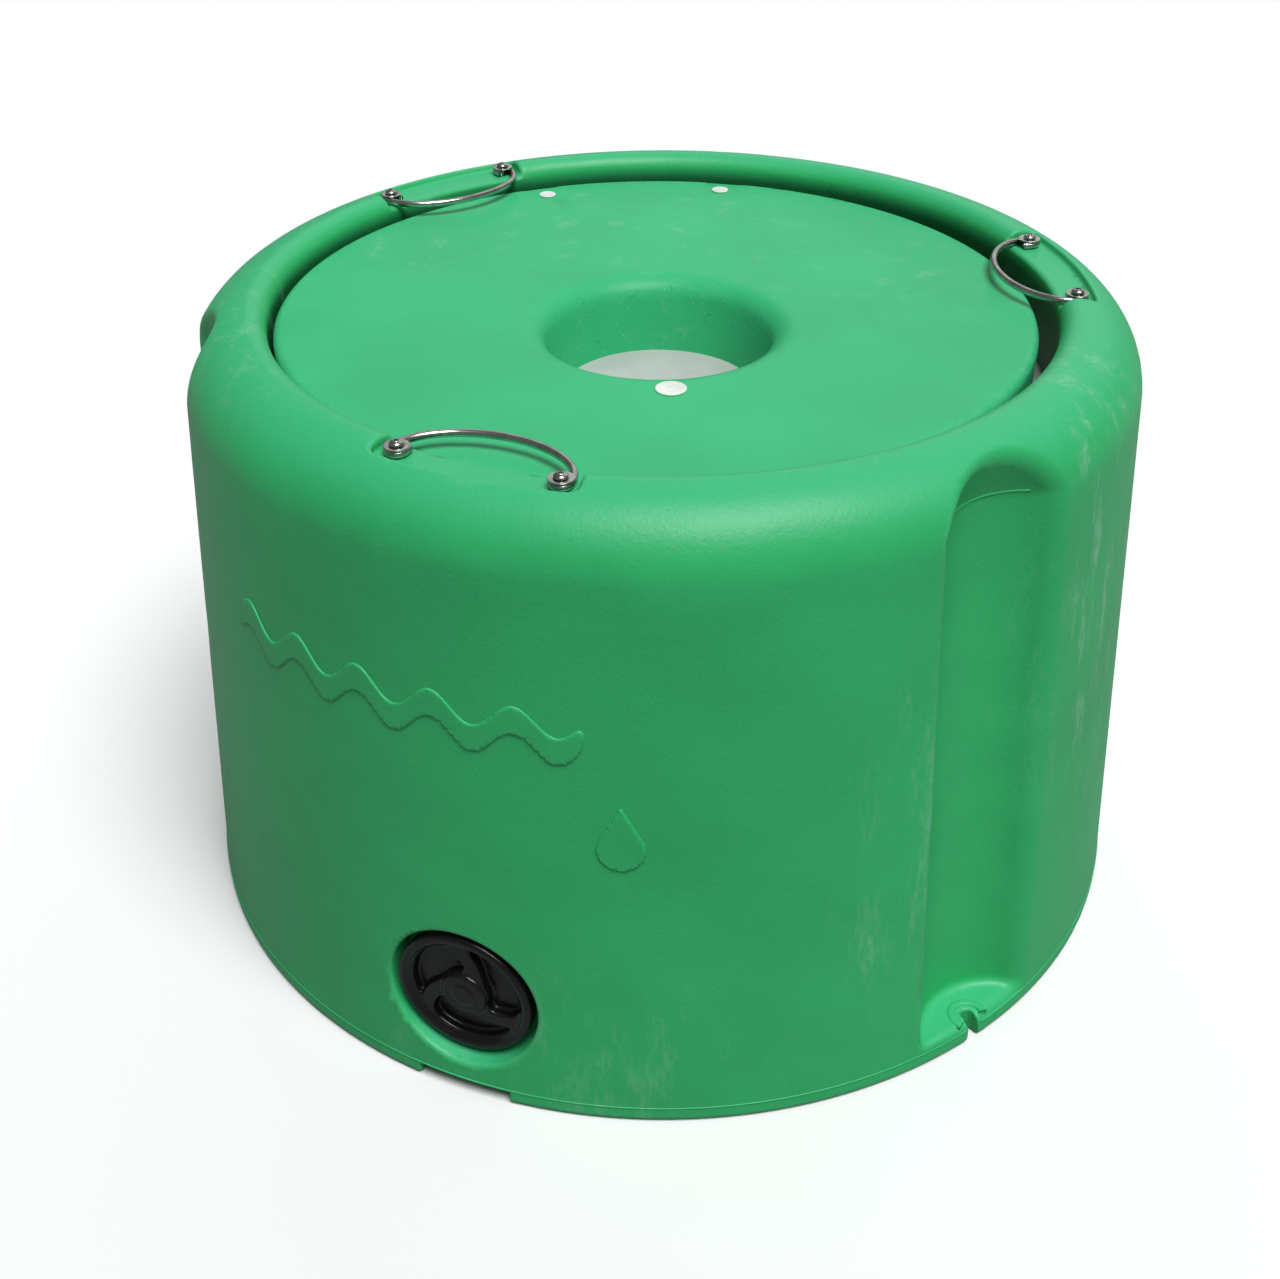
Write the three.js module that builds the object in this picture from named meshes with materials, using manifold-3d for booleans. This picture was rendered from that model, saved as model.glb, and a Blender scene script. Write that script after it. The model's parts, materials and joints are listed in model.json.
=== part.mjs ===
// Insulated round drinker with a floating lid, for livestock. Millimetres, +Z up.
// The origin is the centre of the base on the ground. Azimuths are in degrees:
// 0 looks out along -Y (the drain side) and they grow towards +X.
import * as THREE from "three";
import { mergeVertices } from "three/addons/utils/BufferGeometryUtils.js";
import Module from "manifold-3d";

// ---------- driving sizes ----------
const GAP = 0.3; // between two pieces that touch
const SKIN = 7; // wall of the moulded body
const LID_SKIN = 6; // wall of the moulded lid

// body
const BODY_HEIGHT = 700; // ground to the crest of the rim
const BASE_RADIUS = 558;
const WALL_DRAFT = 45 / 700; // the wall leans in by this much per mm of height
const SHOULDER_RADIUS = 80;
const MOUTH_RADIUS = BASE_RADIUS - 132;
const LIP_RADIUS = 20; // rounding between the crest and the mouth
const TANK_FLOOR_Z = 90;
const TANK_FLOOR_RADIUS = MOUTH_RADIUS - 16;
const TANK_FILLET = 40;
const UNDER_RADIUS = 150; // hollow under the middle of the base
const UNDER_HEIGHT = 50;
const PARTING_Z = 18.5; // mould line round the foot

// three vertical scoops with an anchoring foot
const SCOOP_AZIMUTHS = [60, 180, 300];
const SCOOP_RADIUS = 88;
const SCOOP_DEPTH = 50;
const SCOOP_BEND_Z = BODY_HEIGHT - 64; // above this the scoop closes towards the shoulder
const SCOOP_TOP_RADIUS = SCOOP_RADIUS - 25;
const FOOT_Z = 28;
const SLOT_WIDTH = 15;
const SLOT_FROM_WALL = 10; // slot's head centre, in from the wall
const SLOT_BOSS_RADIUS = 22;
const SLOT_BOSS_HEIGHT = 2;

// retaining loops over the lid
const LOOP_AZIMUTHS = [0, 120, 240];
const LOOP_BOLT_RADIUS = MOUTH_RADIUS + 21; // from the body's axis
const LOOP_HALF_ANGLE = 10.6;
const LOOP_APEX_RADIUS = MOUTH_RADIUS - 48;
const ROD_RADIUS = 3.9;
const LAND_Z = BODY_HEIGHT - 14; // flat seat of a loop
const LAND_OUTER_RADIUS = MOUTH_RADIUS + 39;
const LAND_HALF_ANGLE = 13;
const SCREW_RADIUS = 3.9;
const SCREW_LENGTH = 18;
const SCREW_HEAD_RADIUS = 7;
const SCREW_HEAD_HEIGHT = 4.6;
const SOCKET_ACROSS = 5;
const WASHER_RADIUS = 12.5;
const WASHER_THICKNESS = 1.6;
const INSERT_RADIUS = 7;
const INSERT_LENGTH = 24;

// lid
const LID_TOP_Z = BODY_HEIGHT - 25;
const LID_THICKNESS = 97;
const LID_RADIUS = MOUTH_RADIUS - 12.5;
const LID_DRIFT = 8.5; // how far the floating lid has drifted off the body's axis
const LID_DRIFT_AZIMUTH = -47.4;
const LID_AZIMUTH = 26.5; // the drinking hole's side
const HOLE_OFFSET = 50;
const HOLE_TOP_RADIUS = 142;
const HOLE_FILLET = 24;
const HOLE_LOW_RADIUS = HOLE_TOP_RADIUS - 37;
const FRONT_PLUG_AT = HOLE_OFFSET + HOLE_TOP_RADIUS + 22;
const BACK_PLUG_AT = LID_RADIUS - 33.5;
const BACK_PLUG_HALF_ANGLE = 16.8;
const FRONT_PLUG_RADIUS = 16;
const BACK_PLUG_RADIUS = 10.5;
const PLUG_CAP = 1.6;
const DIMPLE_RADIUS = 35;
const DIMPLE_DEPTH = 0.8;

// drain
const DRAIN_Z = 127;
const DRAIN_MOUTH_RADIUS = 86;
const DRAIN_FLOOR_RADIUS = DRAIN_MOUTH_RADIUS - 6;
const DRAIN_DEPTH = 34;
const DRAIN_PLUG_RADIUS = DRAIN_FLOOR_RADIUS - 3;
const DRAIN_BORE = DRAIN_PLUG_RADIUS - 29;
const DRAIN_PLUG_THICKNESS = 17;
const DRAIN_NECK_RADIUS = DRAIN_BORE - 9;
const DRAIN_NECK_LENGTH = 34;
const NOTCH_WIDTH = 105;
const NOTCH_HEIGHT = 17;

// foam filling holes under the base
const FILL_AZIMUTHS = [0, 120, 240];
const FILL_AT = BASE_RADIUS - 228;
const FILL_RADIUS = 20;

// water inlet and float valve inside the tank
const INLET_AT = 95; // behind the body's axis
const INLET_RADIUS = 13;
const INLET_BORE = 9;
const INLET_NUT_RADIUS = 26;
const VALVE_Z = LID_TOP_Z - LID_THICKNESS - 158;
const PIN_FROM_PIPE = 42; // the lever's pin, out from the pipe's axis
const FLOAT_RADIUS = 45;
const LEVER_LENGTH = Math.min(150, TANK_FLOOR_RADIUS - INLET_AT - PIN_FROM_PIPE - FLOAT_RADIUS - 20);

// raised marks on the front of the wall
const MARK_RELIEF = 1.6;
const WAVE_Z = 470;
const DROP_Z = 350;

const AROUND = 60; // facets of the large round forms
const AROUND_INSIDE = 30; // facets of the same forms on the foam side

// ---------- helpers ----------
const { Manifold, Mesh } = await (async () => {
  const kit = await Module();
  kit.setup();
  return kit;
})();

const rad = (degrees) => (degrees * Math.PI) / 180;
const deg = (radians) => (radians * 180) / Math.PI;
const wallRadius = (z) => BASE_RADIUS - WALL_DRAFT * z;

// A three.js geometry as a closed solid.
function solid(geometry) {
  const plain = new THREE.BufferGeometry();
  const whole = geometry.index ? geometry.toNonIndexed() : geometry;
  plain.setAttribute("position", whole.getAttribute("position"));
  const merged = mergeVertices(plain, 1e-4);
  return new Manifold(
    new Mesh({
      numProp: 3,
      vertProperties: new Float32Array(merged.attributes.position.array),
      triVerts: new Uint32Array(merged.index.array),
    }),
  );
}

function geometryOf(body) {
  const mesh = body.getMesh();
  const geometry = new THREE.BufferGeometry();
  const points = new Float32Array(mesh.numVert * 3);
  for (let i = 0; i < mesh.numVert; i++) {
    const at = i * mesh.numProp;
    points.set(mesh.vertProperties.subarray(at, at + 3), i * 3);
  }
  geometry.setAttribute("position", new THREE.BufferAttribute(points, 3));
  geometry.setIndex(new THREE.BufferAttribute(mesh.triVerts, 1));
  const flat = geometry.toNonIndexed();
  flat.computeVertexNormals();
  return flat;
}

// A profile of [radius, z] pairs, in either sense, turned about the Z axis.
function turned(profile, segments = AROUND) {
  let area = 0;
  profile.forEach(([r, z], i) => {
    const [r2, z2] = profile[(i + 1) % profile.length];
    area += r * z2 - r2 * z;
  });
  const points = area > 0 ? profile : [...profile].reverse();
  const geometry = new THREE.LatheGeometry(
    points.map(([r, z]) => new THREE.Vector2(r, z)),
    segments,
  );
  geometry.rotateX(Math.PI / 2);
  return solid(geometry);
}

// A closed profile that doesn't touch the axis.
const turnedRing = (profile, segments) => turned([...profile, profile[0]], segments);

// Points of a circular arc in a profile, from one angle to the other, in degrees.
function arc(r, z, radius, from, to, steps) {
  const points = [];
  for (let i = 0; i <= steps; i++) {
    const a = rad(from + ((to - from) * i) / steps);
    points.push([r + radius * Math.cos(a), z + radius * Math.sin(a)]);
  }
  return points;
}

// A closed 2-D outline of [x, y] pairs, pushed up from z0 to z1.
function pushed(outline, z0, z1) {
  const shape = new THREE.Shape(outline.map(([x, y]) => new THREE.Vector2(x, y)));
  const geometry = new THREE.ExtrudeGeometry(shape, { depth: z1 - z0, bevelEnabled: false });
  geometry.translate(0, 0, z0);
  return solid(geometry);
}

function upright(radius, z0, z1, segments = 32, topRadius = radius) {
  const geometry = new THREE.CylinderGeometry(topRadius, radius, z1 - z0, segments);
  geometry.rotateX(Math.PI / 2);
  geometry.translate(0, 0, (z0 + z1) / 2);
  return solid(geometry);
}

function block(x0, x1, y0, y1, z0, z1) {
  const geometry = new THREE.BoxGeometry(x1 - x0, y1 - y0, z1 - z0);
  geometry.translate((x0 + x1) / 2, (y0 + y1) / 2, (z0 + z1) / 2);
  return solid(geometry);
}

// Moves a solid built about the Z axis to a place out from the body's axis,
// its own -Y turned to face outwards.
const placed = (body, azimuth, radius = 0) =>
  body.translate([0, -radius, 0]).rotate([0, 0, azimuth]);

// Points a solid built along +Z along -Y instead, its base at y.
const outward = (body, y, z) => body.rotate([90, 0, 0]).translate([0, y, z]);

const all = (bodies) => bodies.reduce((sum, body) => sum.add(body));

const part = new THREE.Group();
part.name = "insulated_drinker";

const COLOURS = {
  green: [0x32a060, 0.45, 0],
  foam: [0xe9dfb4, 0.9, 0],
  white: [0xe8ebe8, 0.5, 0],
  black: [0x141413, 0.35, 0],
  rubber: [0x1b1b1b, 0.7, 0],
  steel: [0xb9b6b2, 0.28, 1],
  brass: [0xb08d57, 0.4, 1],
  blue: [0x2f5f9e, 0.5, 0],
};

function piece(name, body, look) {
  const [color, roughness, metalness] = COLOURS[look];
  const material = new THREE.MeshStandardMaterial({ color, roughness, metalness });
  const mesh = new THREE.Mesh(geometryOf(body), material);
  mesh.name = name;
  part.add(mesh);
}

// ---------- body profiles ----------
// The same walk round the section gives the skin's outside (inset 0) and the
// cavity inside it (inset = the skin), so the two can't drift apart.
const shoulderZ = BODY_HEIGHT - SHOULDER_RADIUS;
const draftAngle = (Math.atan(WALL_DRAFT) * 180) / Math.PI;
const shoulderR = wallRadius(shoulderZ) - SHOULDER_RADIUS / Math.cos(rad(draftAngle));

function bodySection(inset) {
  const steps = inset ? [3, 2, 2] : [7, 3, 3];
  const lean = inset / Math.cos(rad(draftAngle));
  const outer = (z) => wallRadius(z) - lean;
  const round = SHOULDER_RADIUS - inset;
  const lip = LIP_RADIUS - inset;
  const lipR = MOUTH_RADIUS + LIP_RADIUS;
  const lipZ = shoulderZ + Math.sqrt(SHOULDER_RADIUS ** 2 - (lipR - shoulderR) ** 2) - LIP_RADIUS;
  const crest = (Math.acos((lipR + 2 - shoulderR) / round) * 180) / Math.PI;
  const tankLow = TANK_FLOOR_RADIUS + inset;
  const tankFillet = TANK_FILLET + inset;
  const section = [
    [0, UNDER_HEIGHT + inset],
    [UNDER_RADIUS - 12 + inset, UNDER_HEIGHT + inset],
    [UNDER_RADIUS + inset, inset],
    [outer(inset) - 5, inset],
    [outer(inset + 5), inset + 5],
  ];
  if (inset === 0) {
    section.push([outer(PARTING_Z - 1.5), PARTING_Z - 1.5]);
    section.push([outer(PARTING_Z) + 1.3, PARTING_Z]);
    section.push([outer(PARTING_Z + 1.5), PARTING_Z + 1.5]);
  }
  section.push(...arc(shoulderR, shoulderZ, round, draftAngle, crest, steps[0]));
  section.push(...arc(lipR, lipZ, lip, 90, 180, steps[1]));
  section.push(...arc(tankLow - tankFillet, TANK_FLOOR_Z + TANK_FILLET, tankFillet, 0, -90, steps[2]));
  section.push([0, TANK_FLOOR_Z - inset]);
  return section;
}

// ---------- cuts into the body ----------
// Each cut is made twice: as it is, and grown by the skin to keep the cavity clear.
function scoopCut(grow) {
  const radius = SCOOP_RADIUS + grow;
  const floor = FOOT_Z - grow;
  const axisAt = (z) => wallRadius(z) - SCOOP_DEPTH + SCOOP_RADIUS;
  const lean = new THREE.Matrix4().set(
    1, 0, 0, 0,
    0, 1, WALL_DRAFT, -(BASE_RADIUS - SCOOP_DEPTH + SCOOP_RADIUS),
    0, 0, 1, 0,
    0, 0, 0, 1,
  );
  const facets = grow ? 24 : 44;
  const shaft = new THREE.CylinderGeometry(radius, radius, SCOOP_BEND_Z - floor, facets);
  shaft.rotateX(Math.PI / 2);
  shaft.translate(0, 0, (SCOOP_BEND_Z + floor) / 2);
  shaft.applyMatrix4(lean);
  const top = BODY_HEIGHT + 12;
  const cap = upright(radius, SCOOP_BEND_Z - 0.5, top, facets, SCOOP_TOP_RADIUS + grow);
  return solid(shaft).add(cap.translate([0, -axisAt(SCOOP_BEND_Z), 0]));
}

function slotCut(grow) {
  const half = SLOT_WIDTH / 2 + grow;
  const head = wallRadius(FOOT_Z) - SLOT_FROM_WALL;
  const outline = arc(0, -head, half, 0, 180, grow ? 3 : 6);
  outline.push([-half, -head - 60], [half, -head - 60]);
  return pushed(outline, -5, FOOT_Z + 10);
}

function landCut(grow) {
  const outer = LAND_OUTER_RADIUS + grow;
  const half = LAND_HALF_ANGLE + (grow / LAND_OUTER_RADIUS) * (180 / Math.PI);
  const outline = arc(0, 0, outer, -90 - half, -90 + half, grow ? 4 : 8);
  outline.push(...arc(0, 0, MOUTH_RADIUS - 30, -90 + half, -90 - half, 2));
  return pushed(outline, LAND_Z - grow, BODY_HEIGHT + 20);
}

// The drain's recess and the tunnel to the tank, out along -Y.
const drainFloorY = wallRadius(DRAIN_Z) - DRAIN_DEPTH;
function drainCut(grow) {
  const slope = (DRAIN_MOUTH_RADIUS - DRAIN_FLOOR_RADIUS) / DRAIN_DEPTH;
  const far = 70;
  const recess = upright(
    DRAIN_FLOOR_RADIUS + grow,
    -grow,
    far,
    grow ? 24 : 44,
    DRAIN_FLOOR_RADIUS + grow + slope * far,
  );
  const tunnel = upright(DRAIN_BORE + grow, -(drainFloorY - TANK_FLOOR_RADIUS) - 25, 1, 24);
  return outward(recess.add(tunnel), -drainFloorY, DRAIN_Z);
}

const notchCut = (grow) =>
  block(
    -NOTCH_WIDTH / 2 - grow,
    NOTCH_WIDTH / 2 + grow,
    -BASE_RADIUS - 40,
    -UNDER_RADIUS + 20,
    -20,
    NOTCH_HEIGHT + grow,
  );

const inletCut = (grow) => {
  const hole = upright(INLET_RADIUS + 0.6 + grow, UNDER_HEIGHT - 5, TANK_FLOOR_Z + 5, 20);
  return hole.translate([0, INLET_AT, 0]);
};

const boltAzimuths = LOOP_AZIMUTHS.flatMap((a) => [a - LOOP_HALF_ANGLE, a + LOOP_HALF_ANGLE]);
const insertTop = LAND_Z - GAP;
const pocket = upright(INSERT_RADIUS + GAP, insertTop - INSERT_LENGTH - GAP, LAND_Z + 2, 10);
const bossBottom = insertTop - INSERT_LENGTH - SKIN;
const insertBoss = (grow) =>
  upright(INSERT_RADIUS + SKIN + grow, bossBottom - grow, BODY_HEIGHT, 8);

// ---------- raised marks: a drop beside bars of waves, on the moulded wall ----------
// Each outline is drawn flat, pushed through the wall, and kept only where it
// stands out of the skin.
function markBody(outline, azimuth, z) {
  const through = pushed(outline, 0, 120).rotate([90, 0, 0]);
  return placed(through, azimuth, wallRadius(z) - 85);
}

function waveOutline(width, height, swell, z, steps) {
  const top = [];
  const low = [];
  for (let i = 0; i <= steps; i++) {
    const x = -width / 2 + (width * i) / steps;
    const y = z + swell * Math.sin((2 * Math.PI * i) / steps);
    low.push([x, y - height / 2]);
    top.unshift([x, y + height / 2]);
  }
  return [...low, ...top];
}

function dropOutline(radius, z) {
  const tip = radius * 2.1;
  return [...arc(0, z, radius, -210, 30, 10), [0, z + tip]];
}

function marks() {
  const wave = [];
  for (let i = 0; i < 5; i++) {
    const azimuth = -27 + 9.2 * i;
    wave.push(markBody(waveOutline(84, 30, 14, WAVE_Z, 8), azimuth, WAVE_Z));
  }
  wave.push(markBody(dropOutline(24, DROP_Z), 18, DROP_Z));
  const low = DROP_Z - 70;
  const high = WAVE_Z + 70;
  const proud = turned([
    [0, low],
    [wallRadius(low) + MARK_RELIEF, low],
    [wallRadius(high) + MARK_RELIEF, high],
    [0, high],
  ]);
  return all(wave).intersect(proud);
}

// ---------- body ----------
const scoops = (grow) => all(SCOOP_AZIMUTHS.map((a) => placed(scoopCut(grow), a)));
const slots = (grow) => all(SCOOP_AZIMUTHS.map((a) => placed(slotCut(grow), a)));
const lands = (grow) => all(LOOP_AZIMUTHS.map((a) => placed(landCut(grow), a)));

const cavity = (slack) => {
  const inside = turned(bodySection(SKIN + slack), AROUND_INSIDE);
  const bosses = boltAzimuths.map((a) => placed(insertBoss(1.5 * slack), a, LOOP_BOLT_RADIUS));
  return inside
    .subtract(scoops(SKIN + slack))
    .subtract(slots(SKIN + slack))
    .subtract(lands(SKIN + slack))
    .subtract(drainCut(SKIN + slack))
    .subtract(notchCut(SKIN + slack))
    .subtract(inletCut(SKIN + slack))
    .subtract(all(bosses));
};

const footRing = (() => {
  const ring = turnedRing(
    [
      [SLOT_BOSS_RADIUS, FOOT_Z - 1],
      [SLOT_BOSS_RADIUS, FOOT_Z + SLOT_BOSS_HEIGHT - 1],
      [SLOT_BOSS_RADIUS - 1.5, FOOT_Z + SLOT_BOSS_HEIGHT],
      [SLOT_BOSS_RADIUS - 6, FOOT_Z + SLOT_BOSS_HEIGHT],
      [SLOT_BOSS_RADIUS - 8, FOOT_Z - 1],
    ],
    20,
  );
  const inWall = turned([
    [0, 0],
    [wallRadius(FOOT_Z) - 1, 0],
    [wallRadius(FOOT_Z) - 1, FOOT_Z + 5],
    [0, FOOT_Z + 5],
  ]);
  const at = wallRadius(FOOT_Z) - SLOT_FROM_WALL;
  return all(SCOOP_AZIMUTHS.map((a) => placed(ring, a, at))).intersect(inWall);
})();

const fillHole = upright(FILL_RADIUS, -5, SKIN + 1, 20);
const bodyShell = turned(bodySection(0))
  .subtract(scoops(0))
  .add(footRing)
  .add(marks())
  .subtract(slots(0))
  .subtract(lands(0))
  .subtract(cavity(0))
  .subtract(drainCut(0))
  .subtract(notchCut(0))
  .subtract(inletCut(0))
  .subtract(all(boltAzimuths.map((a) => placed(pocket, a, LOOP_BOLT_RADIUS))))
  .subtract(all(FILL_AZIMUTHS.map((a) => placed(fillHole, a + 30, FILL_AT))));
piece("body_shell", bodyShell, "green");
piece("body_foam", cavity(GAP), "foam");

FILL_AZIMUTHS.forEach((a, i) => {
  const cap = turned(
    [
      [0, 1],
      [FILL_RADIUS - 2, 1],
      [FILL_RADIUS - GAP - 0.2, 2.5],
      [FILL_RADIUS - GAP - 0.2, SKIN - GAP],
      [FILL_RADIUS - 4, SKIN - GAP],
      [FILL_RADIUS - 5, 3.5],
      [0, 3.5],
    ],
    20,
  );
  piece("base_plug_" + (i + 1), placed(cap, a + 30, FILL_AT), "black");
});

// ---------- lid ----------
const driftX = LID_DRIFT * Math.sin(rad(LID_DRIFT_AZIMUTH));
const driftY = -LID_DRIFT * Math.cos(rad(LID_DRIFT_AZIMUTH));
const onLid = (body) => body.rotate([0, 0, LID_AZIMUTH]).translate([driftX, driftY, 0]);
const lidLow = LID_TOP_Z - LID_THICKNESS;

function lidSection(inset) {
  const edge = 9 - inset;
  const low = 16 - inset;
  const steps = inset ? 2 : 4;
  return [
    [0, lidLow + inset],
    ...arc(LID_RADIUS - 3 - 16, lidLow + 16, low, -90, 0, steps),
    ...arc(LID_RADIUS - 9, LID_TOP_Z - 9, edge, 0, 90, steps),
    [0, LID_TOP_Z - inset],
  ];
}

function holeCut(grow) {
  const top = LID_TOP_Z;
  const lean = (Math.atan2(14, 70) * 180) / Math.PI;
  const low = HOLE_LOW_RADIUS;
  const profile = [
    [0, lidLow - 20],
    [low + 6 + grow, lidLow - 20],
    [low + 6 + grow, lidLow],
    [low + grow, lidLow + 8],
    ...arc(HOLE_TOP_RADIUS, top - HOLE_FILLET, HOLE_FILLET - grow, 180 - lean, 90, grow ? 3 : 6),
    [HOLE_TOP_RADIUS, top + 10],
    [0, top + 10],
  ];
  return turned(profile, grow ? 24 : 48).translate([0, -HOLE_OFFSET, 0]);
}

const lidPlugs = [
  { name: "lid_plug_front", azimuth: 0, at: FRONT_PLUG_AT, radius: FRONT_PLUG_RADIUS, seat: 0 },
  {
    name: "lid_plug_back_1",
    azimuth: 180 - BACK_PLUG_HALF_ANGLE,
    at: BACK_PLUG_AT,
    radius: BACK_PLUG_RADIUS,
    seat: DIMPLE_DEPTH,
  },
  {
    name: "lid_plug_back_2",
    azimuth: 180 + BACK_PLUG_HALF_ANGLE,
    at: BACK_PLUG_AT,
    radius: BACK_PLUG_RADIUS,
    seat: DIMPLE_DEPTH,
  },
];
const lidEdge = (inset) => turned(lidSection(inset), inset ? AROUND_INSIDE : AROUND);
let lidShell = lidEdge(0)
  .subtract(holeCut(0))
  .subtract(lidEdge(LID_SKIN).subtract(holeCut(LID_SKIN)));
for (const plug of lidPlugs) {
  const hole = upright(plug.radius - 4, LID_TOP_Z - LID_SKIN - 1, LID_TOP_Z + 5, 16);
  lidShell = lidShell.subtract(placed(hole, plug.azimuth, plug.at));
  if (plug.seat) {
    const dish = upright(DIMPLE_RADIUS - 4, LID_TOP_Z - plug.seat, LID_TOP_Z + 4, 20, DIMPLE_RADIUS + 16);
    lidShell = lidShell.subtract(placed(dish, plug.azimuth, plug.at));
  }
}
piece("lid_shell", onLid(lidShell), "green");
piece(
  "lid_foam",
  onLid(lidEdge(LID_SKIN + GAP).subtract(holeCut(LID_SKIN + GAP))),
  "foam",
);
for (const plug of lidPlugs) {
  const seat = LID_TOP_Z - plug.seat + GAP;
  const stem = plug.radius - 4 - GAP - 0.1;
  const cap = turned(
    [
      [0, LID_TOP_Z - LID_SKIN + 0.4],
      [stem, LID_TOP_Z - LID_SKIN + 0.4],
      [stem, seat],
      [plug.radius, seat],
      [plug.radius, seat + PLUG_CAP * 0.5],
      [plug.radius - 1.2, seat + PLUG_CAP],
      [0, seat + PLUG_CAP],
    ],
    20,
  );
  piece(plug.name, onLid(placed(cap, plug.azimuth, plug.at)), "white");
}

// ---------- retaining loops, screws, washers, inserts ----------
const rodZ = LAND_Z + GAP + ROD_RADIUS;
const washerZ = rodZ + ROD_RADIUS + GAP;
const headZ = washerZ + WASHER_THICKNESS + GAP;
const eyeRadius = SCREW_RADIUS + ROD_RADIUS + 0.8;

class LoopCurve extends THREE.Curve {
  // Half an ellipse over the lid, then each end wraps round its screw.
  constructor() {
    super();
    const halfSpan = LOOP_BOLT_RADIUS * Math.sin(rad(LOOP_HALF_ANGLE));
    const out = LOOP_BOLT_RADIUS * Math.cos(rad(LOOP_HALF_ANGLE));
    const path = [];
    for (let i = 0; i <= 24; i++) {
      const a = rad(180 - (180 * i) / 24);
      path.push([(halfSpan + eyeRadius) * Math.cos(a), -out + (out - LOOP_APEX_RADIUS) * Math.sin(a)]);
    }
    const end = [];
    for (let i = 1; i <= 10; i++) {
      const a = rad(-18 * i);
      end.push([halfSpan + eyeRadius * Math.cos(a), -out + eyeRadius * Math.sin(a)]);
    }
    end.push([halfSpan - eyeRadius, -out + 9]);
    const start = end.map(([x, y]) => [-x, y]).reverse();
    this.points = [...start, ...path, ...end].map(([x, y]) => new THREE.Vector3(x, y, 0));
    this.smooth = new THREE.CatmullRomCurve3(this.points, false, "centripetal");
  }
  getPoint(t, target) {
    return this.smooth.getPoint(t, target);
  }
}

function rodLoop() {
  const ring = new THREE.Shape();
  ring.absarc(0, 0, ROD_RADIUS, 0, 2 * Math.PI, false);
  const geometry = new THREE.ExtrudeGeometry(ring, {
    steps: 42,
    curveSegments: 4,
    bevelEnabled: false,
    extrudePath: new LoopCurve(),
  });
  geometry.translate(0, 0, rodZ);
  return solid(geometry);
}

const screw = (() => {
  const head = turned(
    [
      [0, headZ - SCREW_LENGTH],
      [SCREW_RADIUS - 0.8, headZ - SCREW_LENGTH],
      [SCREW_RADIUS, headZ - SCREW_LENGTH + 0.8],
      [SCREW_RADIUS, headZ],
      [SCREW_HEAD_RADIUS, headZ],
      [SCREW_HEAD_RADIUS, headZ + 1],
      [SCREW_HEAD_RADIUS * 0.86, headZ + 2.8],
      [SCREW_HEAD_RADIUS * 0.62, headZ + 4.1],
      [SCREW_HEAD_RADIUS * 0.45, headZ + SCREW_HEAD_HEIGHT],
      [0, headZ + SCREW_HEAD_HEIGHT],
    ],
    14,
  );
  const across = SOCKET_ACROSS / 2 / Math.cos(rad(30));
  return head.subtract(upright(across, headZ + 2, headZ + 8, 6));
})();

const washer = turnedRing(
  [
    [SCREW_RADIUS + 0.5, washerZ],
    [WASHER_RADIUS, washerZ],
    [WASHER_RADIUS, washerZ + WASHER_THICKNESS * 0.6],
    [WASHER_RADIUS - 0.6, washerZ + WASHER_THICKNESS],
    [SCREW_RADIUS + 0.5, washerZ + WASHER_THICKNESS],
  ],
  16,
);

const insert = turnedRing(
  [
    [SCREW_RADIUS + 0.4, insertTop - INSERT_LENGTH],
    [INSERT_RADIUS, insertTop - INSERT_LENGTH],
    [INSERT_RADIUS, insertTop],
    [SCREW_RADIUS + 0.4, insertTop],
  ],
  10,
);

LOOP_AZIMUTHS.forEach((azimuth, i) => {
  piece("loop_" + (i + 1), placed(rodLoop(), azimuth), "steel");
});
boltAzimuths.forEach((azimuth, i) => {
  piece("loop_screw_" + (i + 1), placed(screw, azimuth, LOOP_BOLT_RADIUS), "steel");
  piece("loop_washer_" + (i + 1), placed(washer, azimuth, LOOP_BOLT_RADIUS), "steel");
  piece("loop_insert_" + (i + 1), placed(insert, azimuth, LOOP_BOLT_RADIUS), "brass");
});

// ---------- drain ----------
// Built standing on the recess's floor with +Z outwards, then turned to face -Y.
const BUSH_FLANGE = 5;
const SEAL_THICKNESS = 4;
const bush = turnedRing(
  [
    [DRAIN_NECK_RADIUS + 2, -72],
    [DRAIN_BORE - 0.5, -72],
    [DRAIN_BORE - 0.5, GAP],
    [DRAIN_PLUG_RADIUS - 6, GAP],
    [DRAIN_PLUG_RADIUS - 6, BUSH_FLANGE],
    [DRAIN_NECK_RADIUS + 2, BUSH_FLANGE],
  ],
  24,
);
const sealLow = BUSH_FLANGE + GAP;
const seal = turnedRing(
  [
    [DRAIN_NECK_RADIUS + 4, sealLow],
    [DRAIN_PLUG_RADIUS - 12, sealLow],
    [DRAIN_PLUG_RADIUS - 11, sealLow + SEAL_THICKNESS / 2],
    [DRAIN_PLUG_RADIUS - 12, sealLow + SEAL_THICKNESS],
    [DRAIN_NECK_RADIUS + 4, sealLow + SEAL_THICKNESS],
    [DRAIN_NECK_RADIUS + 3, sealLow + SEAL_THICKNESS / 2],
  ],
  24,
);
const plugLow = sealLow + SEAL_THICKNESS + GAP;
const plugTop = plugLow + DRAIN_PLUG_THICKNESS;

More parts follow.
